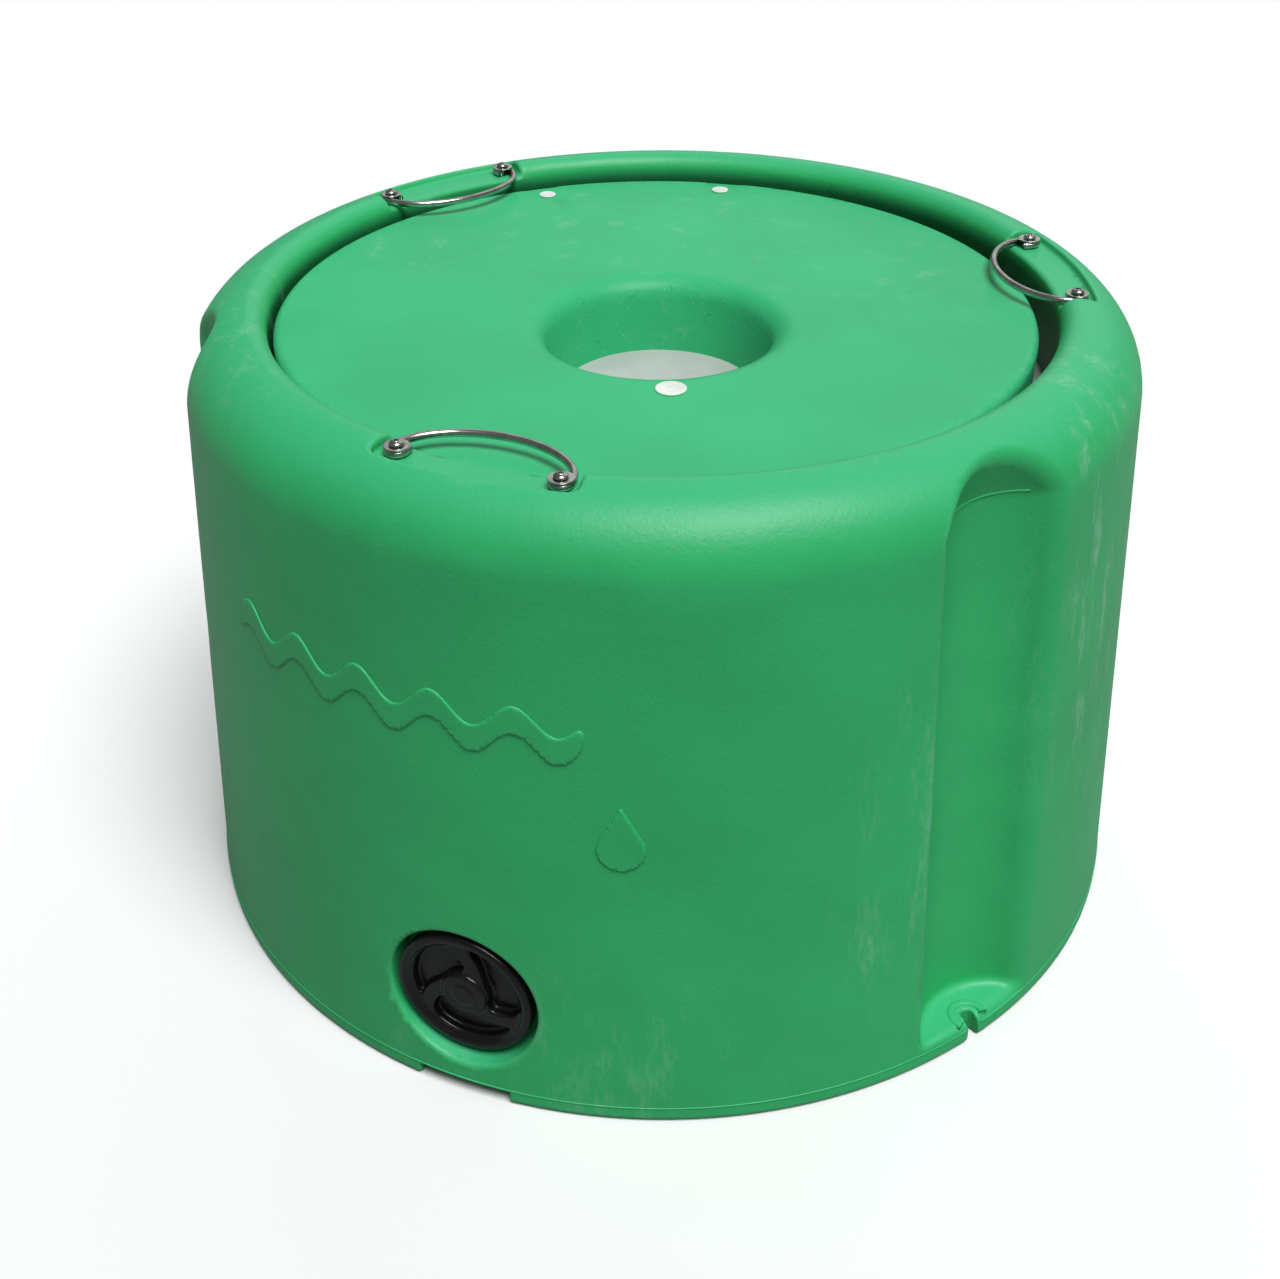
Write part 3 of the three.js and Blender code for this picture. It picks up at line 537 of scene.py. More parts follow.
def edge_wear_group():
    """Where the form turns sharply outwards, broken up by noise."""
    group, given, made = new_group("Edge Wear", {"Sharpness": 60.0, "Amount": 0.5, "Scale": 70.0}, ["Mask"])
    bend = node(group, "ShaderNodeAttribute", attribute_name="bend").outputs["Fac"]
    half = times(group, given["Sharpness"], 0.35)
    edge = ramped(group, bend, half, given["Sharpness"])
    breakup = noise(group, object_place(group), given["Scale"], 5.0)
    kept = times(group, edge, ramped(group, breakup, 0.32, 0.68))
    group.links.new(times(group, kept, given["Amount"]), made["Mask"])
    return group


def drops_group():
    """Beads of water and dried specks, as a mask, a height and pale rings."""
    group, given, made = new_group(
        "Water Beads", {"Scale": 95.0, "Cover": 0.4}, ["Mask", "Height", "Specks"]
    )
    place = object_place(group)
    cells = cells_at(group, place, given["Scale"])
    chance = node(group, "ShaderNodeSeparateColor", {"Color": cells["Color"]}).outputs["Red"]
    size = times(group, ramped(group, chance, maths(group, "SUBTRACT", 1.0, given["Cover"]), 1.0), 0.34)
    bead = ramped(group, maths(group, "SUBTRACT", size, cells["Distance"]), 0.0, 0.12)
    fleck_scale = times(group, given["Scale"], 3.1)
    flecks = cells_at(group, place, fleck_scale)
    fleck_chance = node(group, "ShaderNodeSeparateColor", {"Color": flecks["Color"]}).outputs["Green"]
    fleck_size = times(group, ramped(group, fleck_chance, 0.86, 1.0), 0.26)
    fleck = ramped(group, maths(group, "SUBTRACT", fleck_size, flecks["Distance"]), 0.0, 0.08)
    group.links.new(bead, made["Mask"])
    group.links.new(times(group, bead, 0.0012), made["Height"])
    group.links.new(fleck, made["Specks"])
    return group


GROUP_MAKERS = {
    "Moulded Grain": moulded_grain_group,
    "Region": region_group,
    "Scuffs": scuff_group,
    "Edge Wear": edge_wear_group,
    "Water Beads": drops_group,
}


def effect(tree, name, **inputs):
    """Places a shared effect in a material. Underscores in the inputs' names stand for spaces."""
    group = bpy.data.node_groups.get(name) or GROUP_MAKERS[name]()
    spaced = {key.replace("_", " "): value for key, value in inputs.items()}
    return node(tree, "ShaderNodeGroup", spaced, node_tree=group).outputs


def new_material(name, roughness, **uniform):
    """A material, its node tree and its shader, with the shader's plain numbers set."""
    made = bpy.data.materials.new(name)
    made.use_nodes = True
    tree = made.node_tree
    tree.nodes.clear()
    shader = node(tree, "ShaderNodeBsdfPrincipled", {"Roughness": roughness})
    for key, value in uniform.items():
        shader.inputs[key.replace("_", " ")].default_value = value
    out = tree.nodes.new("ShaderNodeOutputMaterial")
    tree.links.new(shader.outputs[0], out.inputs["Surface"])
    return made, tree, shader


def bumped(tree, shader, height, distance=1.0, strength=1.0):
    bump = node(tree, "ShaderNodeBump", {"Height": height, "Distance": distance, "Strength": strength})
    tree.links.new(bump.outputs[0], shader.inputs["Normal"])


def region(tree, centre, radius, stretch=(1.0, 1.0, 1.0)):
    return effect(tree, "Region", Centre=centre, Radius=radius, Stretch=stretch)["Mask"]


def strongest(tree, *masks):
    total = masks[0]
    for mask in masks[1:]:
        total = maths(tree, "MAXIMUM", total, mask)
    return total


# ---------- finishes ----------
def body_plastic(colours):
    """Green polyethylene of the wall: grain, a top that is partly sun-faded and partly painted sheen,
    painted shade inside the mouth under the lid, rubbed bands.
    """
    made, tree, shader = new_material("green_plastic_moulded", 0.45, Specular_IOR_Level=0.34)
    grain = effect(tree, "Moulded Grain", Grain_Scale=480.0, Grain=1.2, Waviness=0.9)
    place = object_place(tree)
    cloud = noise(tree, place, 4.0, 4.0)
    base = blended(
        tree,
        ramped(tree, cloud, 0.3, 0.7),
        rgba(colours.body_green, 0.94),
        rgba(colours.body_green, 1.05),
    )
    normal = node(tree, "ShaderNodeNewGeometry").outputs["Normal"]
    upward = node(tree, "ShaderNodeSeparateXYZ", {0: normal}).outputs["Z"]
    # Upward faces blend towards the lid green: partly sun fading of the top, partly a painted sheen of the
    # sky on the upward faces.
    faded = blended(tree, ramped(tree, upward, 0.35, 0.95), base, rgba(colours.lid_green))
    speckled = blended(tree, times(tree, grain["Speckle"], 0.07), faded, rgba(colours.bleached))
    # Painted shade: inside the mouth and below the lid's top, the wall is blended most of the way to a
    # near-black copy of the body green, standing in for the shade in the gap between lid and body.
    parts = node(tree, "ShaderNodeSeparateXYZ", {0: place}).outputs
    squares = [times(tree, parts[axis], parts[axis]) for axis in ("X", "Y")]
    from_axis = maths(tree, "SQRT", maths(tree, "ADD", *squares))
    within = ramped(tree, from_axis, 0.436, 0.430)
    sunk = ramped(tree, parts["Z"], 0.688, 0.668)
    mix_share = times(tree, times(tree, within, sunk), 0.82)
    gap_shaded = blended(tree, mix_share, speckled, rgba(colours.body_green, 0.12))
    wear = effect(tree, "Edge Wear", Sharpness=130.0, Amount=0.22, Scale=160.0)["Mask"]
    worn = blended(tree, wear, gap_shaded, rgba(colours.bleached))
    bands = strongest(
        tree,
        region(tree, (0.53, -0.06, 0.46), 0.30, (1.0, 1.6, 0.7)),
        times(tree, region(tree, (0.40, -0.36, 0.30), 0.24, (2.2, 2.2, 0.8)), 0.5),
        times(tree, region(tree, (-0.36, -0.26, 0.70), 0.24), 0.5),
        times(tree, region(tree, (0.10, -0.55, 0.06), 0.30, (1.0, 1.0, 1.6)), 0.35),
    )
    upright = effect(tree, "Scuffs", Amount=0.70, Stroke=(1.0, 1.0, 0.22), Scale=34.0)
    thin = effect(tree, "Scuffs", Amount=0.38, Stroke=(1.0, 1.0, 1.0), Scale=90.0)
    rubbed = times(tree, upright["Mask"], bands)
    everywhere = times(tree, thin["Mask"], 0.14)
    scuffs = times(tree, strongest(tree, rubbed, everywhere), 0.72)
    coloured = blended(tree, scuffs, worn, rgba(colours.scuff))
    lines = times(tree, thin["Strokes"], 0.10)
    tree.links.new(blended(tree, lines, coloured, rgba(colours.bleached)), shader.inputs["Base Color"])
    rough = ramped(tree, strongest(tree, scuffs, wear), 0.0, 0.8, 0.42, 0.62)
    tree.links.new(rough, shader.inputs["Roughness"])
    bumped(tree, shader, grain["Height"], strength=0.85)
    return made


def lid_plastic(colours, hole):
    """Green polyethylene of the lid, with beads of water round the hole at place hole."""
    made, tree, shader = new_material("lid_plastic_moulded", 0.46, Specular_IOR_Level=0.22)
    grain = effect(tree, "Moulded Grain", Grain_Scale=560.0, Grain=0.8, Waviness=1.1)
    place = object_place(tree)
    cloud = noise(tree, place, 5.0, 4.0)
    base = blended(
        tree,
        ramped(tree, cloud, 0.3, 0.7),
        rgba(colours.lid_green, 0.93),
        rgba(colours.lid_green, 1.06),
    )
    wear = effect(tree, "Edge Wear", Sharpness=110.0, Amount=0.30, Scale=120.0)["Mask"]
    worn = blended(tree, wear, base, rgba(colours.bleached))
    areas = strongest(
        tree,
        region(tree, (-0.10, 0.22, LID_HIGH.z), 0.30),
        region(tree, (0.20, 0.20, LID_HIGH.z), 0.20),
        region(tree, (-0.33, 0.05, LID_HIGH.z), 0.12),
    )
    rubbed = effect(tree, "Scuffs", Amount=0.6, Stroke=(1.0, 1.0, 1.0), Scale=30.0)
    thin = effect(tree, "Scuffs", Amount=0.32, Stroke=(1.0, 1.0, 1.0), Scale=110.0)
    patches = times(tree, rubbed["Mask"], areas)
    scuffs = times(tree, strongest(tree, patches, times(tree, thin["Mask"], 0.25)), 0.45)
    scuffed = blended(tree, scuffs, worn, rgba(colours.scuff))
    lines = times(tree, thin["Strokes"], 0.14)
    lined = blended(tree, lines, scuffed, rgba(colours.bleached))
    wet = region(tree, (hole[0], hole[1], LID_HIGH.z - 0.02), 0.235)
    beads = effect(tree, "Water Beads", Scale=125.0, Cover=0.30)
    mask = times(tree, beads["Mask"], wet)
    specks = times(tree, beads["Specks"], wet)
    darkened = blended(tree, times(tree, mask, 0.10), lined, rgba(colours.lid_green, 0.55))
    finished = blended(tree, times(tree, specks, 0.85), darkened, rgba(colours.white))
    tree.links.new(finished, shader.inputs["Base Color"])
    dry = ramped(tree, strongest(tree, scuffs, wear), 0.0, 0.8, 0.43, 0.66)
    tree.links.new(maths(tree, "MULTIPLY_ADD", mask, -0.33, dry), shader.inputs["Roughness"])
    bead_height = times(tree, beads["Height"], wet)
    bumped(tree, shader, maths(tree, "ADD", grain["Height"], bead_height), strength=0.5)
    return made


def speckled_plastic(name, base, roughness, grain_scale, fade, amount, reflection):
    """A moulded plastic with grain and rubbed marks that fade towards another colour."""
    made, tree, shader = new_material(name, roughness, Specular_IOR_Level=reflection)
    grain = effect(tree, "Moulded Grain", Grain_Scale=grain_scale, Grain=0.7, Waviness=0.15)
    marks = effect(tree, "Scuffs", Amount=amount, Stroke=(1.0, 1.0, 1.0), Scale=45.0)
    place = object_place(tree)
    cloud = noise(tree, place, 22.0, 3.0)
    lighter = rgba([min(1, c * 1.15) for c in base])
    tone = blended(tree, ramped(tree, cloud, 0.3, 0.7), rgba(base, 0.85), lighter)
    rubbed = strongest(tree, marks["Mask"], times(tree, marks["Strokes"], 0.6))
    share = times(tree, rubbed, 0.5)
    tree.links.new(blended(tree, share, tone, rgba(fade)), shader.inputs["Base Color"])
    rough = ramped(tree, rubbed, 0.0, 1.0, roughness, min(1.0, roughness + 0.22))
    tree.links.new(rough, shader.inputs["Roughness"])
    bumped(tree, shader, grain["Height"], strength=0.5)
    return made


def worked_metal(name, base, stain, roughness, streak):
    """A metal with fine working lines, smudges and small dark stains."""
    made, tree, shader = new_material(name, roughness, Metallic=1.0)
    place = object_place(tree)
    drawn = vector_maths(tree, "MULTIPLY", place, streak)[0]
    lines = noise(tree, drawn, 900.0, 3.0)
    smudge = noise(tree, place, 55.0, 5.0)
    tone = blended(tree, ramped(tree, smudge, 0.38, 0.66), rgba(base), rgba(base, 0.72))
    spots = noise(tree, place, 210.0, 4.0)
    stained = blended(tree, times(tree, ramped(tree, spots, 0.62, 0.72), 0.6), tone, rgba(stain))
    tree.links.new(stained, shader.inputs["Base Color"])
    rough = maths(tree, "MULTIPLY_ADD", smudge, 0.22, roughness - 0.09)
    tree.links.new(rough, shader.inputs["Roughness"])
    bumped(tree, shader, times(tree, lines, 0.00006), strength=0.6)
    return made


def cellular_foam(colours):
    """Closed-cell insulation foam with a slightly browned skin."""
    made, tree, shader = new_material("foam_cells", 0.95)
    place = object_place(tree)
    cells = cells_at(tree, place, 420.0)
    brown = noise(tree, place, 14.0, 6.0)
    aged = rgba([c * f for c, f in zip(colours.foam, (0.86, 0.74, 0.5))])
    tone = blended(tree, ramped(tree, brown, 0.35, 0.7), rgba(colours.foam), aged)
    shade = ramped(tree, cells["Distance"], 0.1, 0.7)
    tree.links.new(
        blended(tree, times(tree, shade, 0.35), tone, rgba(colours.foam, 0.6)),
        shader.inputs["Base Color"],
    )
    bumped(tree, shader, times(tree, cells["Distance"], -0.0009))
    return made


# Finish: material, colour, roughness, scale of the grain, colour it wears to, amount of wear, reflection.
PLASTICS = {
    "white": ("white_plastic_cap", "white", 0.40, 900.0, (0.42, 0.50, 0.44), 0.42, 0.45),
    "black": ("black_plastic_gloss", "black", 0.25, 1200.0, (0.03, 0.028, 0.025), 0.40, 0.35),
    "pipe": ("black_plastic_pipe", "black", 0.45, 1400.0, (0.09, 0.09, 0.085), 0.45, 0.5),
    "rubber": ("rubber_seal", "rubber", 0.72, 1500.0, (0.09, 0.09, 0.09), 0.35, 0.5),
    "blue": ("blue_plastic_float", "blue", 0.38, 900.0, (0.25, 0.32, 0.42), 0.4, 0.5),
}
# Finish: material, colour, colour of the stains, roughness, how the working lines are drawn out.
METALS = {
    "steel": ("steel_polished", "steel", (0.16, 0.13, 0.10), 0.20, (1.0, 1.0, 1.0)),
    "brass": ("brass_turned", "brass", (0.20, 0.12, 0.05), 0.34, (0.2, 0.2, 1.0)),
}
FINISHES = {}


def finish_named(name, colours):
    """The named finish, made the first time it is asked for."""
    if name in FINISHES:
        return FINISHES[name]
    if name == "foam":
        made = cellular_foam(colours)
    else:
        make = speckled_plastic if name in PLASTICS else worked_metal
        material, tint, *rest = {**PLASTICS, **METALS}[name]
        made = make(material, getattr(colours, tint), *rest)
    FINISHES[name] = made
    return made


def fitted(piece, body, slot, *nodes):
    """Makes a piece move with a body and stand for its nodes, which it hides. The slot is not used."""
    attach(piece, body)
    if nodes:
        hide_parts(*nodes)


# ---------- the moulded body ----------
def wall_radius(sizes, z):
    return sizes.base_radius - sizes.draft * z


def body_outline(sizes):
    """The body's section from the axis under the base, round the wall and rim, to the tank's floor."""
    lean = math.atan(sizes.draft)
    shoulder_z = sizes.height - sizes.shoulder_radius
    shoulder_r = wall_radius(sizes, shoulder_z) - sizes.shoulder_radius / math.cos(lean)
    lip_r = sizes.mouth_radius + sizes.lip_radius
    rise = math.sqrt(sizes.shoulder_radius**2 - (lip_r - shoulder_r) ** 2)
    lip_z = shoulder_z + rise - sizes.lip_radius
    crest = math.acos((lip_r - shoulder_r) / sizes.shoulder_radius) / DEGREE
    tank_r = sizes.mouth_radius - 16 * MM
    fillet = 40 * MM
    return [
        (0, 50 * MM),
        *arc(138 * MM, 42 * MM, 8 * MM, 90, 10, 5),
        (150 * MM, 3 * MM),
        (153 * MM, 0),
        *arc(wall_radius(sizes, 6 * MM) - 6 * MM, 6 * MM, 6 * MM, -90, 0, 6),
        *arc(shoulder_r, shoulder_z, sizes.shoulder_radius, lean / DEGREE, crest, 30),
        *arc(lip_r, lip_z, sizes.lip_radius, crest, 180, 14),
        *arc(tank_r - fillet, sizes.tank_floor + fillet, fillet, 0, -90, 10),
        (0, sizes.tank_floor),
    ]


def scoop_void(sizes, out, side, z):
    """The upright channel, which narrows towards the shoulder and stands on the foot."""
    bend_z = sizes.height - SCOOP_BEND_DROP
    above = z - bend_z
    above = 0.5 * (above + np.sqrt(above**2 + (5 * MM) ** 2))
    axis = wall_radius(sizes, np.minimum(z, bend_z)) - sizes.scoop_depth + sizes.scoop_radius
    radius = sizes.scoop_radius - above * 25 / 76
    channel = np.hypot(side, out - axis) - radius
    return round_common(channel, sizes.foot_height - z, 9 * MM)


def slot_head(sizes):
    """Distance of the anchoring slots' round ends from the axis."""
    return wall_radius(sizes, sizes.foot_height) - 10 * MM


def slot_void(sizes, out, side, z):
    """The anchoring slot through the foot, open outwards."""
    head = slot_head(sizes)
    across = np.where(out < head, np.hypot(side, out - head), np.abs(side)) - 7.5 * MM
    return round_common(across, z - sizes.foot_height - 10 * MM, 1 * MM)


def land_void(sizes, r, out, side, z):
    """The space over the flat seat of a retaining loop."""
    bolt = sizes.mouth_radius + 21 * MM
    across = (np.abs(np.arctan2(side, out)) - 13 * DEGREE) * bolt
    outer = r - sizes.mouth_radius - 39 * MM
    return round_common(round_common(outer, across, 9 * MM), sizes.land_height - z, 5 * MM)


def drain_void(sizes, x, y, z):
    """The drain's coned recess and the way through to the tank."""
    depth = 34 * MM
    floor = wall_radius(sizes, sizes.drain_height) - depth
    beyond = -y - floor
    away = np.hypot(x, z - sizes.drain_height)
    cone = (away - (sizes.drain_mouth - 6 * MM) - beyond * 6 / 34) * 0.985
    recess = round_common(cone, -beyond, 4 * MM)
    bore, into_tank, past_wall = 48 * MM, 130 * MM, 600 * MM
    way = np.maximum(away - bore, -beyond - into_tank)
    return np.minimum(recess, np.maximum(way, -y - past_wall))


def body_field(sizes):
    """Distance to the moulded body's surface, negative inside the plastic and foam."""
    section = turned_outline(body_outline(sizes))

    def field(x, y, z):
        r = np.hypot(x, y)
        solid = section(r, z)
        for azimuth in SCOOP_AZIMUTHS:
            out, side = facing(x, y, azimuth)
            edge = sizes.scoop_edge * (1 + 0.4 * np.tanh(side / (40 * MM)))
            solid = carve(solid, scoop_void(sizes, out, side, z), edge)
            solid = carve(solid, slot_void(sizes, out, side, z), 2 * MM)
        for azimuth in LOOP_AZIMUTHS:
            out, side = facing(x, y, azimuth)
            seat = np.where(out > 0, land_void(sizes, r, out, side, z), 1.0)
            solid = carve(solid, seat, 5 * MM)
        solid = carve(solid, drain_void(sizes, x, y, z), 4 * MM)
        notch = round_common(np.abs(x) - 52.5 * MM, z - 17 * MM, 3 * MM)
        solid = carve(solid, np.maximum(notch, y + 130 * MM), 3.5 * MM)
        for azimuth in FILL_AZIMUTHS:
            out, side = facing(x, y, azimuth)
            hole = np.hypot(side, out - 330 * MM) - 20 * MM
            solid = carve(solid, np.maximum(hole, z - 8 * MM), 1 * MM)
        pipe = np.maximum(np.hypot(x, y - 95 * MM) - 13.6 * MM, z - 120 * MM)
        return carve(solid, pipe, 1 * MM)

    return field


def parting_ridge(sizes):
    """The faint mould line round the foot, broken by the slots."""
    height = 18.5 * MM
    radius = wall_radius(sizes, height)
    gap = 10 * MM / radius / DEGREE
    forms = []
    section = [(-1.6, 1.9), (0.5, 0.7), (0.8, 0), (0.5, -0.7), (-1.6, -1.9)]
    section = [(a * MM, b * MM) for a, b in section]
    for start in SCOOP_AZIMUTHS:
        azimuths = np.linspace(start + gap, start + 120 - gap, 140) * DEGREE
        path = [(radius * math.sin(a), -radius * math.cos(a), height) for a in azimuths]
        forms.append(swept_form(path, section))
    return merged(forms)


def foot_rings(sizes):
    """The raised rim round each anchoring slot's head, open towards the slot's mouth."""
    head = slot_head(sizes)
    base = sizes.foot_height
    rim = 17.6 * MM
    section = [
        (-6, -2), (-4.6, 0.4), (-3.4, 1.5), (-2.2, 2.0), (2.2, 2.0), (3.2, 1.6), (4.0, 0.4), (4.4, -2)
    ]
    section = [(-a * MM, b * MM) for a, b in section]
    forms = []
    for azimuth in SCOOP_AZIMUTHS:
        angles = np.linspace(66, 294, 56) * DEGREE
        path = [(rim * math.sin(a), -rim * math.cos(a), base) for a in angles]
        points, faces = swept_form(path, section)
        forms.append((placed(points, azimuth, head), faces))
    return merged(forms)


def channel_seams(sizes):
    """The thin mould line across each channel where it starts to close."""
    height = sizes.height - SCOOP_BEND_DROP
    forms = []
    for azimuth in SCOOP_AZIMUTHS:
        out = wall_radius(sizes, height) - sizes.scoop_depth + sizes.scoop_radius
        radius = sizes.scoop_radius - 0.3 * MM
        angles = np.linspace(-46, 40, 60) * DEGREE
        path = [(radius * math.sin(a), -out + radius * math.cos(a), height) for a in angles]
        points, faces = swept_form(path, round_section(1.7 * MM, 10))
        forms.append((placed(points, azimuth), faces))
    return merged(forms)


def raised_marks(sizes):
    """A row of waves and a drop, raised on the front of the wall.
    They are shaped on the unrolled wall, then wrapped round it."""
    wave_z, drop_z, between = 470 * MM, 350 * MM, 410 * MM
    long_wave, swing, half_width = 84 * MM, 14 * MM, 15 * MM
    sunk = -2.4 * MM
    reach = wall_radius(sizes, wave_z)
    start, stop = -31.6 * DEGREE * reach, 14.4 * DEGREE * reach
    drop_at = 18 * DEGREE * wall_radius(sizes, drop_z)
    drop_points = [*arc(drop_at, drop_z, 24 * MM, -214, 34, 28), (drop_at, drop_z + 50 * MM)]
    drop = Outline(drop_points, spacing=1 * MM, margin=40 * MM)

    def field(u, z, lift):
        phase = 2 * math.pi * (u - start) / long_wave
        slope = swing * 2 * math.pi / long_wave * np.cos(phase)
        wave = (np.abs(z - wave_z - swing * np.sin(phase)) - half_width) / np.sqrt(1 + slope**2)
        ends = np.abs(u - (start + stop) / 2) - (stop - start) / 2
        flat = np.minimum(round_common(wave, ends, 10 * MM), drop(u, z))
        raised = round_common(flat, lift - sizes.mark_relief, 0.8 * MM)
        return np.maximum(raised, sunk - lift)

    low = (start - 4 * MM, drop_z - 28 * MM, sunk)
    high = (max(stop, drop_at + 30 * MM) + 4 * MM, wave_z + 34 * MM, sizes.mark_relief)
    points, faces, _, _ = meshed(field, low, high, 1.5 * MM, 0.25)
    radius = wall_radius(sizes, points[:, 1]) + points[:, 2]
    angle = points[:, 0] / np.where(points[:, 1] > between, reach, wall_radius(sizes, drop_z))
    wrapped = np.stack([radius * np.sin(angle), -radius * np.cos(angle), points[:, 1]], 1)
    return wrapped, outward_faces(wrapped, faces)


class DRINKER_OT_body(bpy.types.Operator):
    """Builds the moulded body with its channels, feet, seats, drain recess and marks"""

    bl_idname = "drinker.body"
    bl_label = "Moulded Body"

    def execute(self, context):
        sizes, colours = context.scene.drinker_body, context.scene.drinker_colours
        material = body_plastic(colours)
        field = body_field(sizes)
        grid = sizes.grid * 1
        edge = sizes.base_radius + 1 * MM
        low, high = (-edge, -edge, 0), (edge, edge, sizes.height)
        points, faces, slope, bend = meshed(field, low, high, grid, 0.015)
        extras = merged(make(sizes) for make in (parting_ridge, foot_rings, channel_seams, raised_marks))
        all_points, all_faces = merged([(points.tolist(), faces), extras])
        body = new_piece("moulded_body", all_points, all_faces, material)
        shaded(body, slope)
        store(body, "bend", np.concatenate([bend, np.full(len(extras[0]), 55.0)]))
        fitted(body, "body", "green_plastic", "body_shell")
        return {"FINISHED"}


# ---------- the lid ----------
def lid_centre():
    return (LID_LOW.x + LID_HIGH.x) / 2, (LID_LOW.y + LID_HIGH.y) / 2


def lid_place(sizes, azimuth, radius):
    """A place on the lid from its centre, the azimuth counted from the drinking hole's side."""
    x, y = lid_centre()
    angle = sizes.azimuth + azimuth * DEGREE
    return x + radius * math.sin(angle), y - radius * math.cos(angle)


def plug_places(sizes):
    """Place, radius and seat height of the three filling plugs."""
    front = sizes.hole_offset + sizes.hole_radius + 22 * MM
    back = sizes.radius - 33.5 * MM
    return [
        ("lid_plug_front", *lid_place(sizes, 0, front), 16 * MM, sizes.top),
        ("lid_plug_back_1", *lid_place(sizes, 180 - 16.8, back), 10.5 * MM, sizes.top - 0.8 * MM),
        ("lid_plug_back_2", *lid_place(sizes, 180 + 16.8, back), 10.5 * MM, sizes.top - 0.8 * MM),
    ]


def lid_field(sizes):
    """Distance to the lid's surface."""
    low = sizes.top - sizes.thickness
    centre_x, centre_y = lid_centre()
    hole_x, hole_y = lid_place(sizes, 0, sizes.hole_offset)
    section = turned_outline(
        [
            (0, low),
            *arc(sizes.radius - 19 * MM, low + 16 * MM, 16 * MM, -90, 0, 10),
            *arc(sizes.radius - sizes.edge, sizes.top - sizes.edge, sizes.edge, 0, 90, 12),
            (0, sizes.top),
        ],
        spacing=1.2 * MM,
    )
    throat = sizes.hole_radius - sizes.hole_fillet
    lean = math.atan2(16, 70)

    def field(x, y, z):
        dish = np.zeros(np.shape(x))
        for _, px, py, _, seat in plug_places(sizes):
            if seat < sizes.top:
                away = np.hypot(x - px, y - py)
                edge = np.clip((sizes.dimple_radius + 3 * MM - away) / (6 * MM), 0, 1)
                dish = np.maximum(dish, (sizes.top - seat) * edge * edge * (3 - 2 * edge))
        solid = section(np.hypot(x - centre_x, y - centre_y), z + dish)
        away = np.hypot(x - hole_x, y - hole_y)
        below = sizes.top - sizes.hole_fillet - z
        wall = (away - (throat - below * math.tan(lean))) * math.cos(lean)
        share = np.clip((z - low) / sizes.thickness, 0, 1)
        edge = 9 * MM + (sizes.hole_fillet - 9 * MM) * share
        return carve(solid, wall, edge)

    return field


class DRINKER_OT_lid(bpy.types.Operator):
    """Builds the floating lid with its drinking hole and shallow dimples"""

    bl_idname = "drinker.lid"
    bl_label = "Floating Lid"

    def execute(self, context):
        sizes, colours = context.scene.drinker_lid, context.scene.drinker_colours
        field = lid_field(sizes)
        x, y = lid_centre()
        low = (x - sizes.radius, y - sizes.radius, sizes.top - sizes.thickness)
        high = (x + sizes.radius, y + sizes.radius, sizes.top)
        grid = sizes.grid * 1
        points, faces, slope, bend = meshed(field, low, high, grid, 0.02)
        material = lid_plastic(colours, lid_place(sizes, 0, sizes.hole_offset))
        lid = new_piece("moulded_lid", points.tolist(), faces, material)
        shaded(lid, slope)
        store(lid, "bend", bend)
        fitted(lid, "lid", "lid_plastic", "lid_shell")
        return {"FINISHED"}


class DRINKER_OT_lid_plugs(bpy.types.Operator):
    """Builds the three white filling plugs of the lid"""

    bl_idname = "drinker.lid_plugs"
    bl_label = "Filling Plugs"

    def execute(self, context):
        sizes, colours = context.scene.drinker_lid, context.scene.drinker_colours
        material = finish_named("white", colours)
        for name, x, y, radius, seat in plug_places(sizes):
            low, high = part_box(name)
            stem = radius - 4.4 * MM
            profile = [
                (0, low.z),
                (stem - 0.8 * MM, low.z),
                (stem, low.z + 1 * MM),
                (stem, seat + 0.3 * MM),
                (radius - 0.4 * MM, seat + 0.3 * MM),
                *arc(radius - 1 * MM, high.z - 1 * MM, 1 * MM, -20, 90, 8),
                (radius * 0.55, high.z - 0.15 * MM),
                (radius * 0.45, high.z - 0.5 * MM),
                (radius * 0.16, high.z - 0.5 * MM),
                (radius * 0.10, high.z - 0.2 * MM),
                (0, high.z - 0.2 * MM),
            ]
            points, faces = turned_form(profile, 56)
            moved = [(px + x, py + y, pz) for px, py, pz in points]
            cap = new_piece(name + "_cap", moved, faces, material)
            fitted(cap, "lid", "white_plastic", name)
        return {"FINISHED"}


# ---------- retaining loops and their screws ----------
def loop_path(sizes):
    """The rod's centre line over the lid and round both screws, for the loop at azimuth 0."""
    half = SCREW_HALF_ANGLE * DEGREE
    span, out = sizes.bolt_circle * math.sin(half), sizes.bolt_circle * math.cos(half)
    eye = 2 * sizes.rod + 0.8 * MM
    bow = [
        ((span + eye) * math.cos(a), -out + (out - sizes.apex) * math.sin(a))
        for a in np.linspace(math.pi, 0, 90)
    ]
    wrap = [(span + eye * math.cos(a), -out + eye * math.sin(a)) for a in np.linspace(-0.12, -math.pi, 28)]
    tail = [(span - eye, -out + d * MM) for d in (1.5, 3, 4.5, 6, 7.5, 9)]
    end = wrap + tail
    start = [(-x, y) for x, y in reversed(end)]
    return start + bow + end


def eased(path, passes):
    """A path with its kinks smoothed, its ends kept."""
    path = np.array(path, float)
    for _ in range(passes):
        path[1:-1] = 0.5 * path[1:-1] + 0.25 * (path[:-2] + path[2:])
    return path


